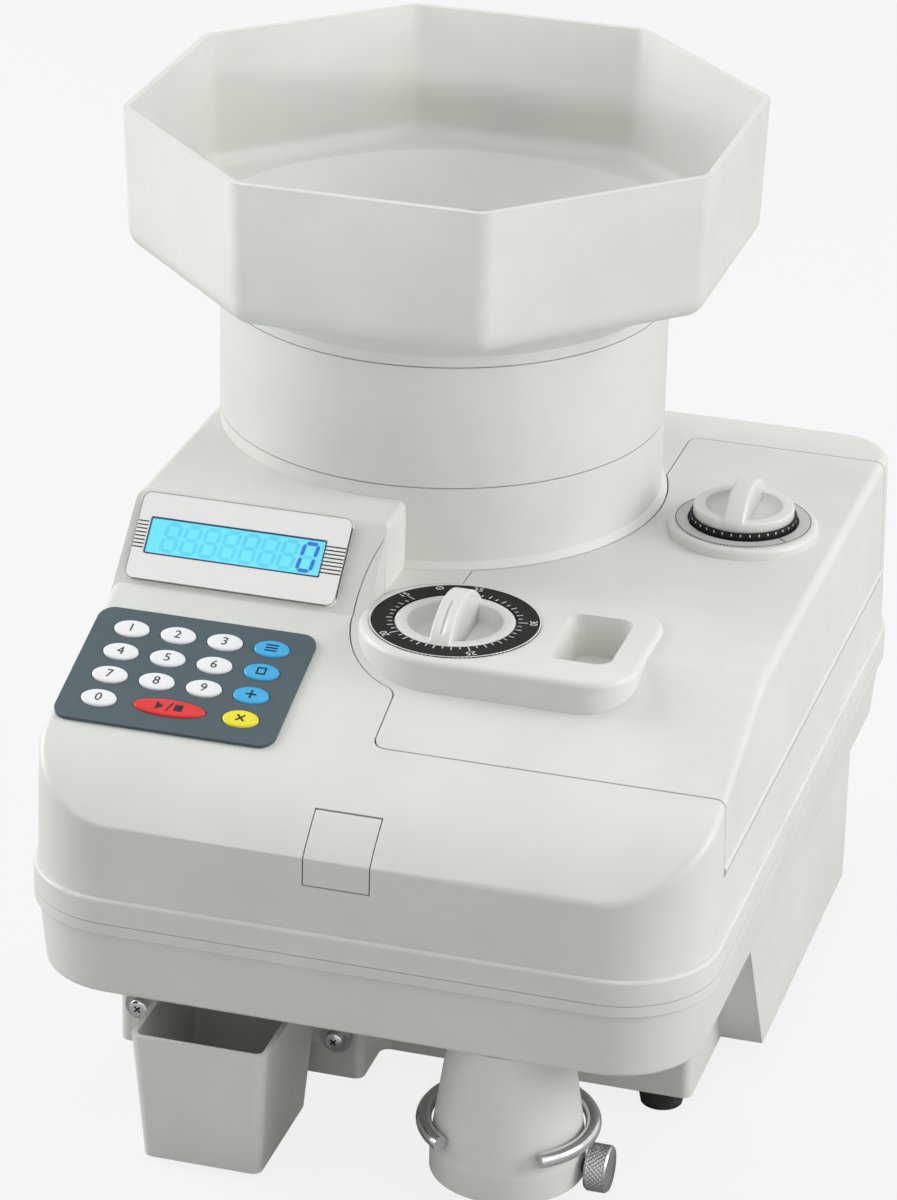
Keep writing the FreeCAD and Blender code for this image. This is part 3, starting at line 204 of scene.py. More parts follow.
def rubber(name, code, rough=0.75):
    """Black rubber: matt, with a dusty mottle of about 3 mm."""
    made, tree, shader = material(name)
    where = add(tree, "ShaderNodeTexCoord").outputs["Object"]
    dust = add(tree, "ShaderNodeTexNoise", {"Vector": where, "Scale": 1 / (3.03 * MM), "Detail": 4.0})
    tone = add(tree, "ShaderNodeValToRGB", {"Fac": dust.outputs["Fac"]})
    tone.color_ramp.elements[0].color = linear(code)
    tone.color_ramp.elements[1].color = linear("#3A3936")
    relief = add(tree, "ShaderNodeBump", {"Height": dust.outputs["Fac"], "Distance": 0.03 * MM,
                                          "Strength": 0.4})
    tree.links.new(tone.outputs["Color"], shader.inputs["Base Color"])
    tree.links.new(relief.outputs["Normal"], shader.inputs["Normal"])
    shader.inputs["Roughness"].default_value = rough
    return made


def backlit(name, code, glow):
    """Liquid crystal film: its own colour as a glow, drifting by a tenth across about 20 mm."""
    made, tree, shader = material(name)
    where = add(tree, "ShaderNodeTexCoord").outputs["Object"]
    drift = add(tree, "ShaderNodeTexNoise", {"Vector": where, "Scale": 1 / (20 * MM), "Detail": 2.0})
    base = np.array(linear(code)[:3])
    tone = add(tree, "ShaderNodeValToRGB", {"Fac": drift.outputs["Fac"]})
    for stop, share in zip(tone.color_ramp.elements, (0.86, 1.1)):
        stop.color = (*np.clip(base * share, 0, 1), 1.0)
    tree.links.new(tone.outputs["Color"], shader.inputs["Emission Color"])
    shader.inputs["Base Color"].default_value = (*base * 0.3, 1.0)
    shader.inputs["Emission Strength"].default_value = glow
    shader.inputs["Roughness"].default_value = 0.2
    return made


steel = metal("rolled_steel_satin", "#B4B6B8", 0.34, along="X")
turned_steel = metal("turned_steel", "#BDBDBB", 0.28, along="Z")
chrome = metal("chrome_plate", "#D9DADB", 0.10, line_mm=2.0, relief_mm=0.001)
disc_steel = metal("polished_disc_steel", "#C6C6C4", 0.22, along="Y")
alloy = metal("machined_aluminium", "#C7C9CB", 0.32, along="Y")
brass = metal("turned_brass", "#C9A659", 0.28, along="Z")
black_rubber = rubber("rubber_black", "#151514")
lcd_film = backlit("lcd_film_cyan", "#6CDEFA", 0.85)
lcd_ghost = backlit("lcd_segment_ghost", "#5CD0EE", 0.82)
lcd_lit = backlit("lcd_segment_blue", "#2F72E2", 0.75)

FINISH = {
    "case_plastic": case_abs, "display_face": plate_film, "lcd_glass": lcd_film, "keypad_face": pad_film,
    "key_white": key_white, "key_blue": key_blue, "key_red": key_red, "key_yellow": key_yellow,
    "circuit_board": board_green, "dial_black": dial_film, "scale_grey": scale_film, "steel": steel,
    "polished_disc": disc_steel, "aluminium": alloy, "brass": brass, "black_rubber": black_rubber,
    "chrome": chrome, "black_plastic": black_nylon_and_recess_shade}
for entry in frame["record"]["subparts"]:
    solid = nodes[entry["node"]]
    solid.data.materials.clear()
    solid.data.materials.append(FINISH[entry["material_slot"]])
print("finishes", len(FINISH))

# %% [markdown]
# ## Tools for surfaces
# A surface is a grid of points that a formula gives from two parameters. One function turns such a grid
# into a mesh, another turns a profile about an upright axis, and a third pushes flat outlines into thin
# closed slabs, which is how print, ticks and display segments are made.

# %% Surface helpers


def piece(name, verts, faces, finish, body, slot, smooth=True):
    """A mesh object at the origin that rides on a body and takes the given finish; slot is not used."""
    mesh = bpy.data.meshes.new(name)
    mesh.from_pydata(np.asarray(verts, float).reshape(-1, 3).tolist(), [], [list(map(int, f)) for f in faces])
    mesh.materials.append(finish)
    if smooth:
        mesh.shade_smooth()
    made = bpy.data.objects.new(name, mesh)
    bpy.context.scene.collection.objects.link(made)
    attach(made, body)
    return made


def quads(rows, cols, around, start=0):
    """Quads of a rows by cols grid; around joins the last column to the first."""
    i = np.arange(rows - 1)[:, None]
    j = np.arange(cols if around else cols - 1)[None, :]
    k = (j + 1) % cols
    return (np.stack([i * cols + j, i * cols + k, (i + 1) * cols + k, (i + 1) * cols + j],
                     -1) + start).reshape(-1, 4)


def turned(profile, centre, count=72, ring=False):
    """Surface of revolution about Z: each (r, z) at every angle; a ring's profile closes on itself."""
    profile = list(profile) + (profile[:1] if ring else [])
    r, z = np.asarray(profile, float).T[:, :, None]
    t = np.linspace(0, TAU, count, endpoint=False)[None, :]
    grid = np.stack([centre[0] + r * np.cos(t), centre[1] + r * np.sin(t), z + 0 * t], -1).reshape(-1, 3)
    faces = [tuple(f) for f in quads(len(profile), count, True)]
    if not ring:
        last = (len(profile) - 1) * count
        faces.append(tuple(range(count))[::-1])
        faces.append(tuple(range(last, last + count)))
    return grid, faces


def rounded_loop(x0, y0, x1, y1, r, steps=7):
    """Rounded rectangle: a quarter circle of radius r at each corner, joined by straight sides."""
    corners = [(x1 - r, y1 - r, 0), (x0 + r, y1 - r, 1), (x0 + r, y0 + r, 2), (x1 - r, y0 + r, 3)]
    t = np.linspace(0, TAU / 4, steps)
    return np.concatenate([np.stack([cx + r * np.cos(t + k * TAU / 4), cy + r * np.sin(t + k * TAU / 4)], -1)
                           for cx, cy, k in corners])


def border(box, r, width, low, high, place):
    """Flat frame between a rounded rectangle and the one that lies width inside it."""
    x0, y0, x1, y1 = box
    outer = rounded_loop(x0, y0, x1, y1, r)
    inner = rounded_loop(x0 + width, y0 + width, x1 - width, y1 - width, max(r - width, 0.05 * MM))
    rows = [(outer, low), (outer, high), (inner, high), (inner, low), (outer, low)]
    verts = np.concatenate([place(loop[:, 0], loop[:, 1], np.full(len(loop), h)) for loop, h in rows])
    return verts, [tuple(f) for f in quads(len(rows), len(outer), True)]


def slabs(outlines, low, high, place):
    """Flat outlines (k of n points) pushed from low to high, then put in place by place(x, y, h)."""
    flat = np.asarray(outlines, float)
    k, n = flat.shape[:2]
    levels = np.stack([np.full((k, n), low), np.full((k, n), high)], 1)
    x = np.repeat(flat[:, None, :, 0], 2, 1)
    y = np.repeat(flat[:, None, :, 1], 2, 1)
    verts = place(x, y, levels).reshape(-1, 3)
    base = np.arange(k)[:, None] * 2 * n
    ids = np.arange(n)[None, :]
    nxt = (ids + 1) % n
    walls = np.stack([base + ids, base + nxt, base + n + nxt, base + n + ids], -1).reshape(-1, 4)
    faces = [tuple(f) for f in walls]
    faces += [tuple(f) for f in (base + ids)[:, ::-1]]
    faces += [tuple(f) for f in (base + n + ids)]
    return verts, faces


def tilted(y0, z0, degrees):
    """Place for a face turned about X: y runs up the face, h stands off it."""
    c, s = math.cos(math.radians(degrees)), math.sin(math.radians(degrees))

    def place(x, y, h):
        return np.stack([x, y0 + y * c - h * s, z0 + y * s + h * c], -1)
    return place


def lettering(name, text, size, place, x, y, h, finish, body, slot, turn=0.0):
    """Printed figures: an outline font made a mesh, centred, turned, and laid on a face."""
    curve = bpy.data.curves.new(name, "FONT")
    curve.body = text
    curve.size = size
    curve.extrude = 0.04 * MM
    curve.resolution_u = 4
    holder = bpy.data.objects.new(name + "_type", curve)
    bpy.context.scene.collection.objects.link(holder)
    bpy.context.view_layer.update()
    mesh = bpy.data.meshes.new_from_object(holder.evaluated_get(bpy.context.evaluated_depsgraph_get()))
    bpy.data.objects.remove(holder)
    co = np.zeros(len(mesh.vertices) * 3)
    mesh.vertices.foreach_get("co", co)
    co = co.reshape(-1, 3)
    co[:, :2] -= (co[:, :2].min(0) + co[:, :2].max(0)) / 2
    c, s = math.cos(turn), math.sin(turn)
    moved = place(x + co[:, 0] * c - co[:, 1] * s, y + co[:, 0] * s + co[:, 1] * c, h + co[:, 2])
    faces = [tuple(p.vertices) for p in mesh.polygons]
    bpy.data.meshes.remove(mesh)
    return piece(name, moved, faces, finish, body, slot, smooth=False)


# %% [markdown]
# ## Driving places
# The keypad lies on the sloping front of the deck and the display on the steeper face above it. The two
# slopes are written as angles from the deck's front corner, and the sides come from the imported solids, so
# the looks follow the measured parts.

# %% Driving places
SLOPE_DEG, FACE_DEG = 18.8, 45.5
SLOPE_Y, FACE_Y, DECK_Z = -77 * MM, -75 * MM, 195 * MM
slope = tilted(SLOPE_Y, DECK_Z, SLOPE_DEG)
face = tilted(FACE_Y, DECK_Z, FACE_DEG)
pad_low, pad_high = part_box("keypad_plate")
plate_low, plate_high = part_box("display_plate")
PAD_DOWN, KEY_LEFT, KEY_REAR = 14.4 * MM, 16 * MM, 11 * MM
KEY_PITCH = np.array([19.4, 13.3]) * MM
FIRST_KEY = np.array([pad_low.x + KEY_LEFT, -(PAD_DOWN + KEY_REAR)])
print("keypad", pad_low, pad_high)

# %% [markdown]
# ## Keys
# Each key is an embossed oval on a film. A flat cylinder would show a hard rim, so the cap is a low dome:
# its height falls with the eighth power of the distance from the middle, which keeps the top flat and
# rounds only the edge.

# %% Key caps
KEY_A, KEY_B, KEY_WIDE = 7.2 * MM, 4.5 * MM, 7.5 * MM
PAD_T, KEY_UP, KEY_ROUND = 1.5 * MM, 0.9 * MM, 0.6 * MM
KEY_SEAT, KEY_BRIM, KEY_HEM = -0.5 * MM, 1.0 * MM, 1.3 * MM
AROUND = 64


def oval_cap(a, b, x0, y0):
    """Dome over an ellipse: height KEY_UP less KEY_ROUND times rho to the eighth power; a brim below."""
    t = np.linspace(0, TAU, AROUND, endpoint=False)[None, :]
    rho = np.concatenate([np.linspace(0.02, 0.86, 7), np.linspace(0.9, 1.0, 8)])[::-1, None]
    top = PAD_T + KEY_UP - KEY_ROUND * rho ** 8
    x = x0 + a * rho * np.cos(t)
    y = y0 + b * rho * np.sin(t)
    seat = np.full(AROUND, KEY_SEAT)
    wall = np.stack([x[0], y[0], seat], -1)[None]
    brim = np.stack([x0 + (a + KEY_BRIM) * np.cos(t[0]), y0 + (b + KEY_BRIM) * np.sin(t[0]), seat], -1)[None]
    hem = brim - np.array([0, 0, KEY_HEM])
    local = np.concatenate([hem, brim, wall, np.stack([x, y, top + 0 * x], -1)], 0)
    rows = local.shape[0]
    faces = [tuple(f) for f in quads(rows, AROUND, True)]
    faces.append(tuple(range(AROUND))[::-1])
    faces.append(tuple(range((rows - 1) * AROUND, rows * AROUND)))
    return slope(local[..., 0], local[..., 1], local[..., 2]), faces


KEYS = [("1", 0, 0), ("2", 1, 0), ("3", 2, 0), ("mem", 3, 0),
        ("4", 0, 1), ("5", 1, 1), ("6", 2, 1), ("set", 3, 1),
        ("7", 0, 2), ("8", 1, 2), ("9", 2, 2), ("add", 3, 2),
        ("0", 0, 3), ("start", 1.5, 3), ("clear", 3, 3)]
KEY_FILM = {"mem": key_blue, "set": key_blue, "add": key_blue, "start": key_red, "clear": key_yellow}
KEY_SLOT = {"mem": "key_blue", "set": "key_blue", "add": "key_blue", "start": "key_red",
            "clear": "key_yellow"}
key_at = {}
for key, col, row in KEYS:
    at = FIRST_KEY + np.array([col, -row]) * KEY_PITCH
    key_at[key] = at
    wide = KEY_A + (KEY_WIDE if key == "start" else 0)
    verts, faces = oval_cap(wide, KEY_B, *at)
    cap = piece("cap_" + key, verts, faces, KEY_FILM.get(key, key_white), "key_" + key,
                KEY_SLOT.get(key, "key_white"))
    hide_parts("key_" + key)
print("keys", len(key_at))

# %% [markdown]
# ## Key legends
# Figures are printed on the ten number keys. The function keys get plain signs made of bars: stacked
# lines, a hollow square, a plus, a start arrow beside a stop square, and a clearing cross.

# %% Key legends
PRINT, KEY_FIGURE = PAD_T + KEY_UP + 0.03 * MM, 6.0 * MM
for digit in "0123456789":
    lettering("figure_" + digit, digit, KEY_FIGURE, slope, *key_at[digit], PRINT, print_dark,
              "key_" + digit, "dial_black")


def bar(x, y, w, h, turn=0.0):
    """Rectangle of four corners about its middle, turned."""
    c, s = math.cos(turn), math.sin(turn)
    p = np.array([(-w, -h), (w, -h), (w, h), (-w, h)]) / 2
    return p @ np.array([(c, s), (-s, c)]) + np.array([x, y])


SIGNS = {
    "mem": [bar(0, k * 1.5 * MM, 5 * MM, 0.7 * MM) for k in (-1, 0, 1)],
    "set": [bar(-1.6 * MM, 0, 0.7 * MM, 4 * MM), bar(1.6 * MM, 0, 0.7 * MM, 4 * MM),
            bar(0, -1.65 * MM, 3 * MM, 0.7 * MM), bar(0, 1.65 * MM, 3 * MM, 0.7 * MM)],
    "add": [bar(0, 0, 4.4 * MM, 0.8 * MM), bar(0, 1.35 * MM, 0.8 * MM, 1.9 * MM),
            bar(0, -1.35 * MM, 0.8 * MM, 1.9 * MM)],
    "start": [np.array([(-5.5, -2), (-2.2, 0), (-2.2, 0.01), (-5.5, 2)]) * MM,
              bar(0, 0, 0.7 * MM, 5 * MM, -0.35),
              bar(3.8 * MM, 0, 3.4 * MM, 3.4 * MM)],
    "clear": [bar(0, 0, 4.4 * MM, 0.8 * MM, math.pi / 4),
              bar(0.98 * MM, -0.98 * MM, 1.8 * MM, 0.8 * MM, -math.pi / 4),
              bar(-0.98 * MM, 0.98 * MM, 1.8 * MM, 0.8 * MM, -math.pi / 4)]}
for key, marks in SIGNS.items():
    verts, faces = slabs(np.array(marks) + key_at[key], PRINT - 0.06 * MM, PRINT + 0.03 * MM, slope)
    piece("sign_" + key, verts, faces, print_ink, "key_" + key, "dial_black", smooth=False)
print("signs", len(SIGNS))

# %% [markdown]
# ## Display
# Eight figures of seven segments each sit on the lit film; seven are off and show only as ghosts, the
# last reads 0. Short dark bars flank the window, printed on the plate. A thin grey ring round the plate
# is painted shade for the gap around it.

# %% Display figures and bars
PLATE_UP, PLATE_L, LCD_LEFT, LCD_DOWN = 2 * MM, 37.5 * MM, 5.5 * MM, 10.5 * MM
LCD_W, LCD_H = 74 * MM, 15.9 * MM
LCD_X, LCD_Y = plate_low.x + LCD_LEFT, PLATE_UP + PLATE_L - LCD_DOWN - LCD_H
CELLS, CELL_LEFT, CELL_PITCH = 8, 6.5 * MM, 8.2 * MM
CELL_W, CELL_H, STROKE, SKEW, NICK = 5.6 * MM, 11.6 * MM, 1.6 * MM, 0.12, 0.25 * MM
STRIPES, STRIPE_PITCH, STRIPE_H, STRIPE_LEFT_L, STRIPE_RIGHT_L = 8, 1.6 * MM, 0.5 * MM, 4.4 * MM, 9.0 * MM


def segment(x0, y0, x1, y1):
    """Pointed bar between two corners of a figure: a hexagon with its tips on the ends."""
    a, b = np.array([x0, y0]), np.array([x1, y1])
    along = (b - a) / np.linalg.norm(b - a)
    across = np.array([-along[1], along[0]]) * STROKE / 2
    a, b = a + along * NICK, b - along * NICK
    nip = along * STROKE / 2
    return np.array([a, a + nip - across, b - nip - across, b, b - nip + across, a + nip + across])


ends = [(0, 1, 1, 1), (0, 0.5, 0, 1), (1, 0.5, 1, 1), (0, 0.5, 1, 0.5), (0, 0, 0, 0.5), (1, 0, 1, 0.5),
        (0, 0, 1, 0)]
figure = np.array([segment(a * CELL_W, b * CELL_H, c * CELL_W, d * CELL_H) for a, b, c, d in ends])
figure[..., 0] += figure[..., 1] * SKEW
starts = LCD_X + CELL_LEFT + np.arange(CELLS) * CELL_PITCH
corners = np.stack([starts, np.full(CELLS, LCD_Y + (LCD_H - CELL_H) / 2)], -1)
everything = figure[None] + corners[:, None, None, :]
ghosts = np.concatenate([everything[:-1].reshape(-1, 6, 2), everything[-1, 3:4]])
lit = everything[-1][[0, 1, 2, 4, 5, 6]]
for name, shapes, finish in (("display_ghosts", ghosts, lcd_ghost), ("display_zero", lit, lcd_lit)):
    verts, faces = slabs(shapes, 1.05 * MM, 1.16 * MM, face)
    piece(name, verts, faces, finish, "case", "lcd_glass", smooth=False)
mid = LCD_Y + LCD_H / 2
rows = mid + (np.arange(STRIPES) - (STRIPES - 1) / 2) * STRIPE_PITCH
left = [bar(plate_low.x + 2.7 * MM, y, STRIPE_LEFT_L, STRIPE_H) for y in rows]
right = [bar(plate_high.x - 4.9 * MM, y, STRIPE_RIGHT_L, STRIPE_H) for y in rows]
verts, faces = slabs(left + right, 1.57 * MM, 1.66 * MM, face)
piece("display_bars", verts, faces, print_dark, "case", "dial_black", smooth=False)
EDGES = [("display_bezel", (LCD_X, LCD_Y, LCD_X + LCD_W, LCD_Y + LCD_H),
          1.2 * MM, 0.55 * MM, 1.0 * MM, 1.68 * MM, bezel_ink),
         # The grey frame round the plate is painted shade for the gap between plate and case.
         ("display_gap_shade", (plate_low.x, PLATE_UP, plate_high.x, PLATE_UP + PLATE_L),
          3.5 * MM, 0.3 * MM, 0.2 * MM, 1.64 * MM, gap_shade_grey)]
for name, span, r, width, low, high, finish in EDGES:
    verts, faces = border(span, r, width, low, high, face)
    piece(name, verts, faces, finish, "case", "dial_black", smooth=False)
print("display pieces", 3 + len(EDGES))

# %% [markdown]
# ## Setting knobs
# Each knob is a shallow cup with a broad flat lip and a finger bar across it. The cup is a profile turned
# about its axis. The bar is a loft along Y: its top follows a circle a quarter larger than the knob, its
# edges are rounded, and on the left knob a pointer groove runs along the front half.

# %% Knobs


def cup(x, y, z, radius, height, floor=2.0 * MM, lip=5.2 * MM, edge=0.7 * MM):
    """Turned cup: outside wall, flat lip with rounded edges, leaning inside wall, floor."""
    t = np.linspace(0, math.pi / 2, 5)
    outer = list(zip(radius - edge + edge * np.cos(t), z + height - edge + edge * np.sin(t)))
    inner = list(zip(radius - lip + edge - edge * np.sin(t), z + height - edge + edge * np.cos(t)))
    profile = [(0.3 * MM, z), (radius - edge, z), (radius, z + edge)] + outer + inner
    profile += [(radius - lip - 1.6 * MM, z + floor + 0.6 * MM), (radius - lip - 2.4 * MM, z + floor),
                (0.3 * MM, z + floor)]
    return turned(profile, (x, y), 120)


def finger_bar(x, y, z, radius, width, height, groove=0.0, edge=1.1 * MM):
    """Bar along Y: top z = height - R + sqrt(R^2 - y^2) with R = 1.25 radius; groove sinks its front half."""
    v = np.linspace(-1, 1, 61)[:, None] * (radius - 0.5 * MM)
    bend = 1.25 * radius
    top = z + height - bend + np.sqrt(bend ** 2 - v ** 2)
    sink = groove * np.clip(np.minimum(-v / radius - 0.18, 0.86 + v / radius) / 0.04, 0, 1)
    t = np.linspace(0, math.pi / 2, 6)
    half = width / 2
    right_x, right_h = half - edge + edge * np.cos(t), -edge + edge * np.sin(t)
    slot_x = np.array([0.55, 0.45, -0.45, -0.55]) * MM
    across = np.concatenate([[half + 0.3 * MM], right_x, slot_x, -right_x[::-1], [-half - 0.3 * MM]])
    drop = np.concatenate([[0], right_h, np.zeros(4), right_h[::-1], [0]])
    up = top + drop[None, :]
    up[:, 8:10] -= sink
    up[:, [0, -1]] = z + 0.5 * MM
    grid = np.stack([x + across[None, :] + 0 * v, y + v + 0 * across[None, :],
                     np.maximum(up, z + 0.5 * MM)], -1)
    rows, cols = grid.shape[:2]
    faces = [tuple(f[::-1]) for f in quads(rows, cols, True)]
    faces.append(tuple(range(cols)))
    faces.append(tuple(range((rows - 1) * cols, rows * cols))[::-1])
    return grid.reshape(-1, 3), faces


def join(*parts):
    """Several meshes as one list of points and faces."""
    verts, faces, start = [], [], 0
    for v, f in parts:
        v = np.asarray(v).reshape(-1, 3)
        verts.append(v)
        faces += [tuple(i + start for i in one) for one in f]
        start += len(v)
    return np.concatenate(verts), faces


def middle(node):
    """Middle of a node's plan, and its box."""
    low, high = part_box(node)
    return (low.x + high.x) / 2, (low.y + high.y) / 2, low, high


BAR_W, SKIRT_OUT, SKIRT_DOWN = 8.5 * MM, 1.2 * MM, 4.9 * MM
DIAL_BAR, DIAL_CUP = 19.5 * MM, 8.4 * MM
THICK_BAR, THICK_CUP = 15.0 * MM, 5.0 * MM
dial_x, dial_y, low, high = middle("diameter_knob")
dial_r = (high.x - low.x) / 2
dial_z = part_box("dial_ring")[1].z
cup_z = high.z - DIAL_BAR
verts, faces = join(cup(dial_x, dial_y, cup_z, dial_r, DIAL_CUP, floor=1.0 * MM),
                    finger_bar(dial_x, dial_y, cup_z, dial_r, BAR_W, DIAL_BAR, groove=0.8 * MM))
knob = piece("diameter_cup", verts, faces, knob_abs, "diameter_knob", "case_plastic")
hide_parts("diameter_knob")
thick_x, thick_y, low, high = middle("thickness_knob")
thick_z = high.z - THICK_BAR
skirt_r = (high.x - low.x) / 2
thick_r = skirt_r - SKIRT_OUT
verts, faces = join(cup(thick_x, thick_y, thick_z, thick_r, THICK_CUP),
                    finger_bar(thick_x, thick_y, thick_z, thick_r, BAR_W, THICK_BAR))
knob = piece("thickness_cup", verts, faces, knob_abs, "thickness_knob", "case_plastic")
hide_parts("thickness_knob")
skirt_top = thick_z + 1.0 * MM
skirt_low = thick_z - SKIRT_DOWN
skirt = turned([(0.3 * MM, skirt_low), (skirt_r, skirt_low), (skirt_r, skirt_top - 0.2 * MM),
                (skirt_r - 0.2 * MM, skirt_top), (0.3 * MM, skirt_top)], (thick_x, thick_y), 96)
piece("thickness_skirt", *skirt, dial_film, "thickness_knob", "dial_black")
print("knob radii", dial_r, thick_r)

# %% [markdown]
# ## Dial scales
# The black ring round the left knob carries ticks for every half millimetre from 15 to 35, longer at each
# whole one and longest at each five, where the figures stand. They run round the ring at a constant step,
# so their angles are one straight-line formula of the reading. The right knob has white strokes round a
# black skirt, and its label has one index line.

# %% Dial scales


def flat(z):
    """Place for print on a level face."""
    def place(x, y, h):
        return np.stack([x, y, z + h], -1)
    return place


def ticks(cx, cy, angles, inner, outer, width):
    """Radial bars at the given angles."""
    out = np.stack([np.cos(angles), np.sin(angles)], -1)
    half = np.stack([-out[:, 1], out[:, 0]], -1) * width / 2
    a, b = out * inner[:, None], out * outer[:, None]
    return np.stack([a - half, b - half, b + half, a + half], 1) + np.array([cx, cy])


readings = np.arange(15, 35.25, 0.5)
START_DEG, STEP_DEG = 147.0, 15.1
angles = np.radians(START_DEG + (readings - readings[0]) * STEP_DEG)
five = readings % 5 == 0
inner = np.full(len(readings), dial_r + 0.9 * MM)
reach = np.where(five, 3.8, np.where(readings % 1 == 0, 2.5, 1.7)) * MM
verts, faces = slabs(ticks(dial_x, dial_y, angles, inner, inner + reach, 0.45 * MM), 0, 0.06 * MM,
                     flat(dial_z))
piece("dial_ticks", verts, faces, print_white, "lid", "scale_grey", smooth=False)
FIGURE_R, FIGURE_SIZE = dial_r + 6.9 * MM, 4.4 * MM
UNIT_DEG = 118.0
marks = [(str(value), angle) for value, angle in zip(readings[five].astype(int), angles[five])]
for text, angle in marks + [("\u00d8", math.radians(UNIT_DEG))]:
    x, y = dial_x + FIGURE_R * math.cos(angle), dial_y + FIGURE_R * math.sin(angle)
    name = "dial_figure_" + text if text.isdigit() else "dial_unit"
    lettering(name, text, FIGURE_SIZE, flat(dial_z), x, y, 0.03 * MM, print_white, "lid", "scale_grey",
              turn=angle - math.pi / 2)
rim_r = (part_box("dial_ring")[1].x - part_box("dial_ring")[0].x) / 2
rim = turned([(rim_r, dial_z - 1.0 * MM), (rim_r, dial_z + 0.05 * MM),
              (rim_r - 0.55 * MM, dial_z + 0.05 * MM),
              (rim_r - 0.55 * MM, dial_z - 1.0 * MM)], (dial_x, dial_y), 120, ring=True)
piece("dial_rim", *rim, print_white, "lid", "scale_grey", smooth=False)
TICK_COUNT, TICK_W, TICK_H = 36, 0.5 * MM, 1.05 * MM


def around(cx, cy, r):
    """Place for print on an upright cylinder: x is the angle, y the height, h stands off the wall."""
    def place(x, y, h):
        return np.stack([cx + (r + h) * np.cos(x), cy + (r + h) * np.sin(x), y], -1)
    return place


TICK_Z = skirt_top - 0.8 * MM
strokes = [bar(angle, TICK_Z, TICK_W / skirt_r, TICK_H)
           for angle in np.linspace(0, TAU, TICK_COUNT, endpoint=False)]
verts, faces = slabs(strokes, -0.1 * MM, 0.04 * MM, around(thick_x, thick_y, skirt_r))
piece("thickness_ticks", verts, faces, print_white, "thickness_knob", "scale_grey", smooth=False)
label_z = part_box("thickness_ring")[1].z
label_r = (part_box("thickness_ring")[1].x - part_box("thickness_ring")[0].x) / 2
INDEX_DEG = -38.0
index = np.radians([INDEX_DEG])
verts, faces = slabs(ticks(thick_x, thick_y, index, np.array([label_r - 4.6 * MM]),
                           np.array([label_r - 0.8 * MM]), 0.6 * MM),
                     0, 0.06 * MM, flat(label_z))
piece("thickness_index", verts, faces, print_dark, "lid", "dial_black", smooth=False)
hem = turned([(label_r, label_z - 0.4 * MM), (label_r, label_z + 0.05 * MM),
              (label_r - 0.3 * MM, label_z + 0.05 * MM),
              (label_r - 0.3 * MM, label_z - 0.4 * MM)], (thick_x, thick_y), 120, ring=True)
piece("thickness_hem", *hem, print_dark, "lid", "dial_black", smooth=False)
print("dial", dial_x, dial_y, "thickness", thick_x, thick_y)

# %% [markdown]
# ## Knurled screw, pan heads and rocker marks
# Diamond knurling is two sets of opposed helical grooves. On a cylinder of radius r they are two sine
# waves of the angle and the length, one running each way, and the surface takes the lower of the two.
# The bin's screws have domed pan heads whose cross recess is painted shade, a black cross on the dome,
# and the power rocker carries the usual stroke and ring.

# %% Small fittings
THUMB_L, THUMB_CHAMFER, THUMB_STEM = 9 * MM, 0.9 * MM, 3 * MM


def knurled(low, high, radius, stem_r, count=30, depth=0.6 * MM):
    """Head along X: r = radius less depth where the lower of two helical waves is low; chamfered ends."""
    cy, cz = (low.y + high.y) / 2, (low.z + high.z) / 2
    head = high.x - THUMB_L
    s = np.linspace(0, 1, 37)[:, None]
    t = np.linspace(0, TAU, count * 6, endpoint=False)[None, :]
    turns = THUMB_L / radius
    wave = np.minimum(np.abs(np.sin(count / 2 * (t + turns * s))),
                      np.abs(np.sin(count / 2 * (t - turns * s))))
    shoulder = np.clip(np.minimum(s, 1 - s) / 0.12, 0, 1)
    r = radius - THUMB_CHAMFER * (1 - shoulder) - depth * (1 - wave) * (shoulder >= 1)
    body = np.stack([head + s * THUMB_L + 0 * t, cy + r * np.cos(t), cz + r * np.sin(t)], -1)
    lead = np.stack([np.full_like(t, low.x), cy + stem_r * np.cos(t), cz + stem_r * np.sin(t)], -1)
    neck = np.stack([np.full_like(t, head), cy + stem_r * np.cos(t), cz + stem_r * np.sin(t)], -1)
    dish = np.stack([np.full_like(t, high.x - 0.6 * MM), cy + 0.6 * radius * np.cos(t),
                     cz + 0.6 * radius * np.sin(t)], -1)
    grid = np.concatenate([lead, neck, body, dish], 0)
    rows, cols = grid.shape[:2]
    faces = [tuple(f) for f in quads(rows, cols, True)]
    faces.append(tuple(range(cols))[::-1])
    faces.append(tuple(range((rows - 1) * cols, rows * cols)))
    return grid.reshape(-1, 3), faces


thumb_low, thumb_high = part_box("thumb_screw")
verts, faces = knurled(thumb_low, thumb_high, (thumb_high.z - thumb_low.z) / 2, THUMB_STEM)
screw = piece("thumb_knurl", verts, faces, turned_steel, "thumb_screw", "steel")
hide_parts("thumb_screw")


def pan_head(x, y, z, radius, rise, count=48):
    """Dome facing -Y: stands rise * sqrt(1 - rho^2) proud of y."""
    rho = np.linspace(1, 0.04, 12)[:, None]
    t = np.linspace(0, TAU, count, endpoint=False)[None, :]
    grid = np.stack([x + radius * rho * np.cos(t), y - rise * np.sqrt(1 - rho ** 2) + 0 * t,
                     z + radius * rho * np.sin(t)], -1)
    faces = [tuple(f) for f in quads(12, count, True)]
    faces.append(tuple(range(count))[::-1])
    faces.append(tuple(range(11 * count, 12 * count)))
    return grid.reshape(-1, 3), faces


def upright_face(x0, y0, z0, sign):
    """Place for print on an upright wall that faces -Y (sign 1) or +Y (sign -1)."""
    def place(x, y, h):
        return np.stack([x0 + sign * x, y0 - sign * h + 0 * x, z0 + y], -1)
    return place


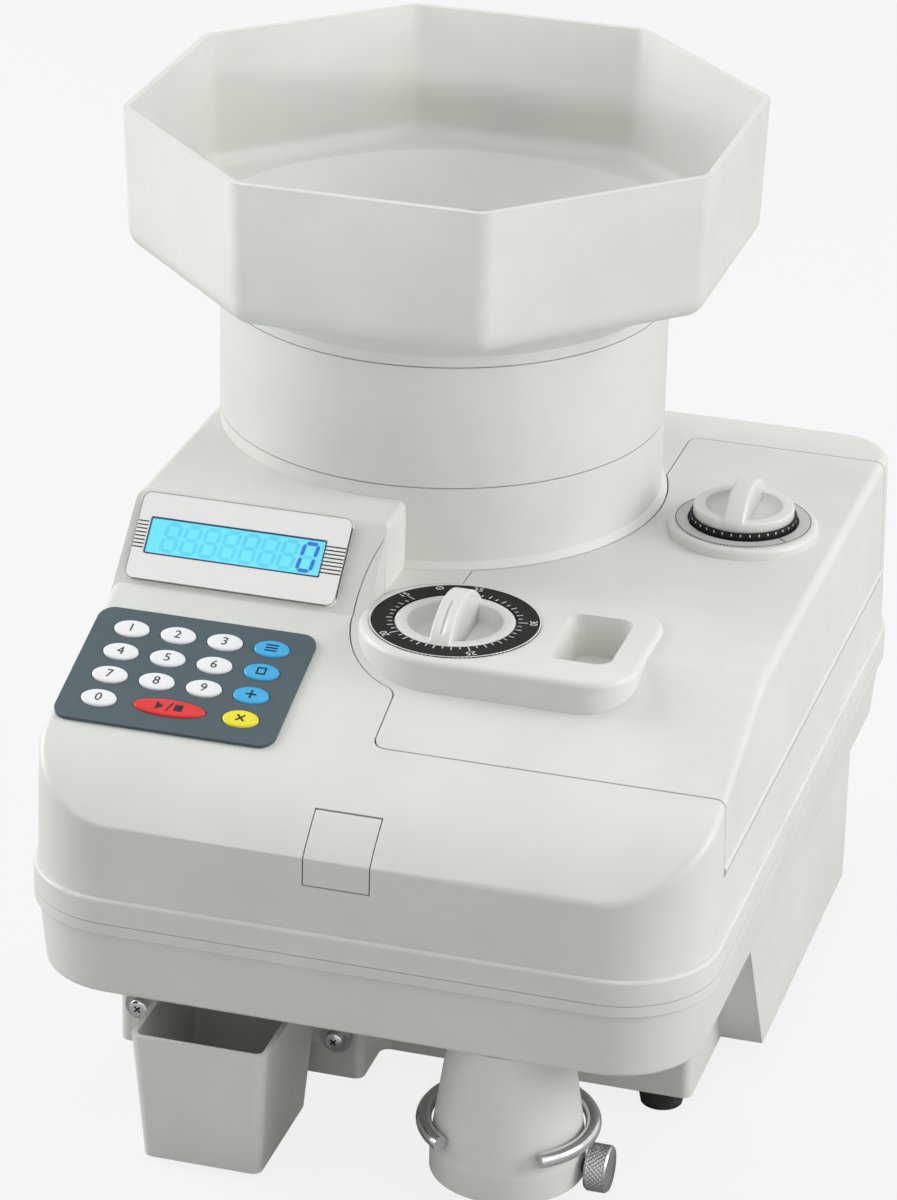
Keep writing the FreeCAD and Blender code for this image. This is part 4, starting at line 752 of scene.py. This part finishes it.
screw_low, screw_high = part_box("bin_screws")
HEAD_R, HEAD_RISE, HEAD_IN = 3.9 * MM, 1.1 * MM, 6.5 * MM
for hand, x in (("left", screw_low.x + HEAD_IN), ("right", screw_high.x - HEAD_IN)):
    z = (screw_low.z + screw_high.z) / 2
    verts, faces = pan_head(x, screw_low.y + 0.2 * MM, z, HEAD_R, HEAD_RISE)
    piece("pan_head_" + hand, verts, faces, chrome, "case", "steel")
    # The cross recess is not cut: a black cross on the chrome dome is painted shade for it.
    cross = [bar(0, 0, 3.4 * MM, 0.8 * MM, TAU / 8), bar(0, 0, 3.4 * MM, 0.8 * MM, -TAU / 8)]
    verts, faces = slabs(cross, 0.4 * MM, 0.95 * MM, upright_face(x, screw_low.y, z, 1))
    piece("cross_recess_painted_shade_" + hand, verts, faces, black_nylon_and_recess_shade, "case", "black_plastic", smooth=False)
rocker_x, _, low, high = middle("power_rocker")
back = upright_face(rocker_x, high.y, (low.z + high.z) / 2, -1)
for name, text, shift in (("rocker_on", "I", -4 * MM), ("rocker_off", "O", 4 * MM)):
    lettering(name, text, 4.5 * MM, back, shift, 0, 0.04 * MM, print_white, "power_rocker", "scale_grey")
print("fittings", 7)

# %% [markdown]
# ## Floor and light
# A paper floor and six soft boxes: a large one above, a strong one on each side, two weak ones in front,
# so that the front wall stays in soft shade, and a small one with a grid for the front of the hopper. Only
# camera, glossy and transmitted rays see the white world; the machine is lit by the lamps and a modest even
# sky. The camera sees most of the floor as plain white, as on a light table. A black flag, seen by glossy
# rays alone, gives the chrome its dark side.

# %% Floor, lamps, world
FLOOR, FLOOR_GLOW = 6.0, 0.85
floor_mesh = bpy.data.meshes.new("floor")
floor_mesh.from_pydata([(-FLOOR, -FLOOR, 0), (FLOOR, -FLOOR, 0), (FLOOR, FLOOR, 0), (-FLOOR, FLOOR, 0)],
                       [], [(0, 1, 2, 3)])
floor = bpy.data.objects.new("floor", floor_mesh)
bpy.context.scene.collection.objects.link(floor)
floor_paint, tree, shader = material("studio_paper_pale")
fibre = add(tree, "ShaderNodeTexNoise", {"Vector": add(tree, "ShaderNodeTexCoord").outputs["Object"],
                                         "Scale": 1 / (2.5 * MM)})
tone = add(tree, "ShaderNodeMapRange", {"Value": fibre.outputs["Fac"], "To Min": 0.48, "To Max": 0.52})
tree.links.new(tone.outputs["Result"], shader.inputs["Base Color"])
shader.inputs["Roughness"].default_value = 0.9
glow = add(tree, "ShaderNodeEmission", {"Color": (1, 1, 1, 1), "Strength": 1.0})
path = add(tree, "ShaderNodeLightPath")
eye = add(tree, "ShaderNodeMath", {0: path.outputs["Is Camera Ray"], 1: FLOOR_GLOW}, operation="MULTIPLY")
blend = add(tree, "ShaderNodeMixShader", {0: eye.outputs[0], 1: shader.outputs[0], 2: glow.outputs[0]})
tree.links.new(blend.outputs[0], tree.nodes["Material Output"].inputs["Surface"])
floor_mesh.materials.append(floor_paint)


def softbox(name, at, size, watts, aim=(0, 0, 0.18), spread=180):
    """Square area lamp at a point, turned to face the machine; a grid narrows its spread in degrees."""
    lamp = bpy.data.lights.new(name, "AREA")
    lamp.size = size
    lamp.energy = watts
    lamp.spread = math.radians(spread)
    made = bpy.data.objects.new(name, lamp)
    made.location = at
    made.rotation_euler = (Vector(aim) - Vector(at)).to_track_quat("-Z", "Y").to_euler()
    bpy.context.scene.collection.objects.link(made)


softbox("top_box", (0.1, 0.25, 2.0), 1.5, 7)
softbox("left_box", (-1.9, 0.1, 0.9), 1.0, 25)
softbox("right_box", (1.9, 0.1, 0.9), 1.0, 20)
softbox("left_front_box", (-1.5, -1.1, 1.0), 1.0, 2)
softbox("right_front_box", (1.5, -1.0, 1.0), 1.0, 2.5)
softbox("hopper_spot", (0.0, -1.7, 0.6), 0.1, 0.03, aim=(-0.05, -0.06, 0.385), spread=11)
FLAG, FLAG_AT, FLAG_AIM = 0.45, Vector((-0.75, -0.95, 0.3)), Vector((0.07, -0.16, 0.03))
flag_mesh = bpy.data.meshes.new("flag")
flag_mesh.from_pydata([(-FLAG, -FLAG, 0), (FLAG, -FLAG, 0), (FLAG, FLAG, 0), (-FLAG, FLAG, 0)], [],
                      [(0, 1, 2, 3)])
flag_mesh.materials.append(moulded("flag_cloth_black", "#050505", rough=0.9))
flag = bpy.data.objects.new("flag", flag_mesh)
flag.location = FLAG_AT
flag.rotation_euler = (FLAG_AIM - FLAG_AT).to_track_quat("-Z", "Y").to_euler()
flag.visible_camera = flag.visible_diffuse = flag.visible_shadow = False
bpy.context.scene.collection.objects.link(flag)
SKY, SEEN = 0.48, 1.0
world = bpy.data.worlds.new("studio")
bpy.context.scene.world = world
world.use_nodes = True
tree = world.node_tree
path = add(tree, "ShaderNodeLightPath")
seen = add(tree, "ShaderNodeMath", {0: path.outputs["Is Camera Ray"], 1: path.outputs["Is Glossy Ray"]},
           operation="MAXIMUM")
seen = add(tree, "ShaderNodeMath", {0: seen.outputs[0], 1: path.outputs["Is Transmission Ray"]},
           operation="MAXIMUM")
strength = add(tree, "ShaderNodeMapRange", {"Value": seen.outputs[0], "To Min": SKY, "To Max": SEEN})
tree.links.new(strength.outputs["Result"], tree.nodes["Background"].inputs["Strength"])
tree.nodes["Background"].inputs["Color"].default_value = (1, 1, 1, 1)
print("lamps", len(bpy.data.lights))
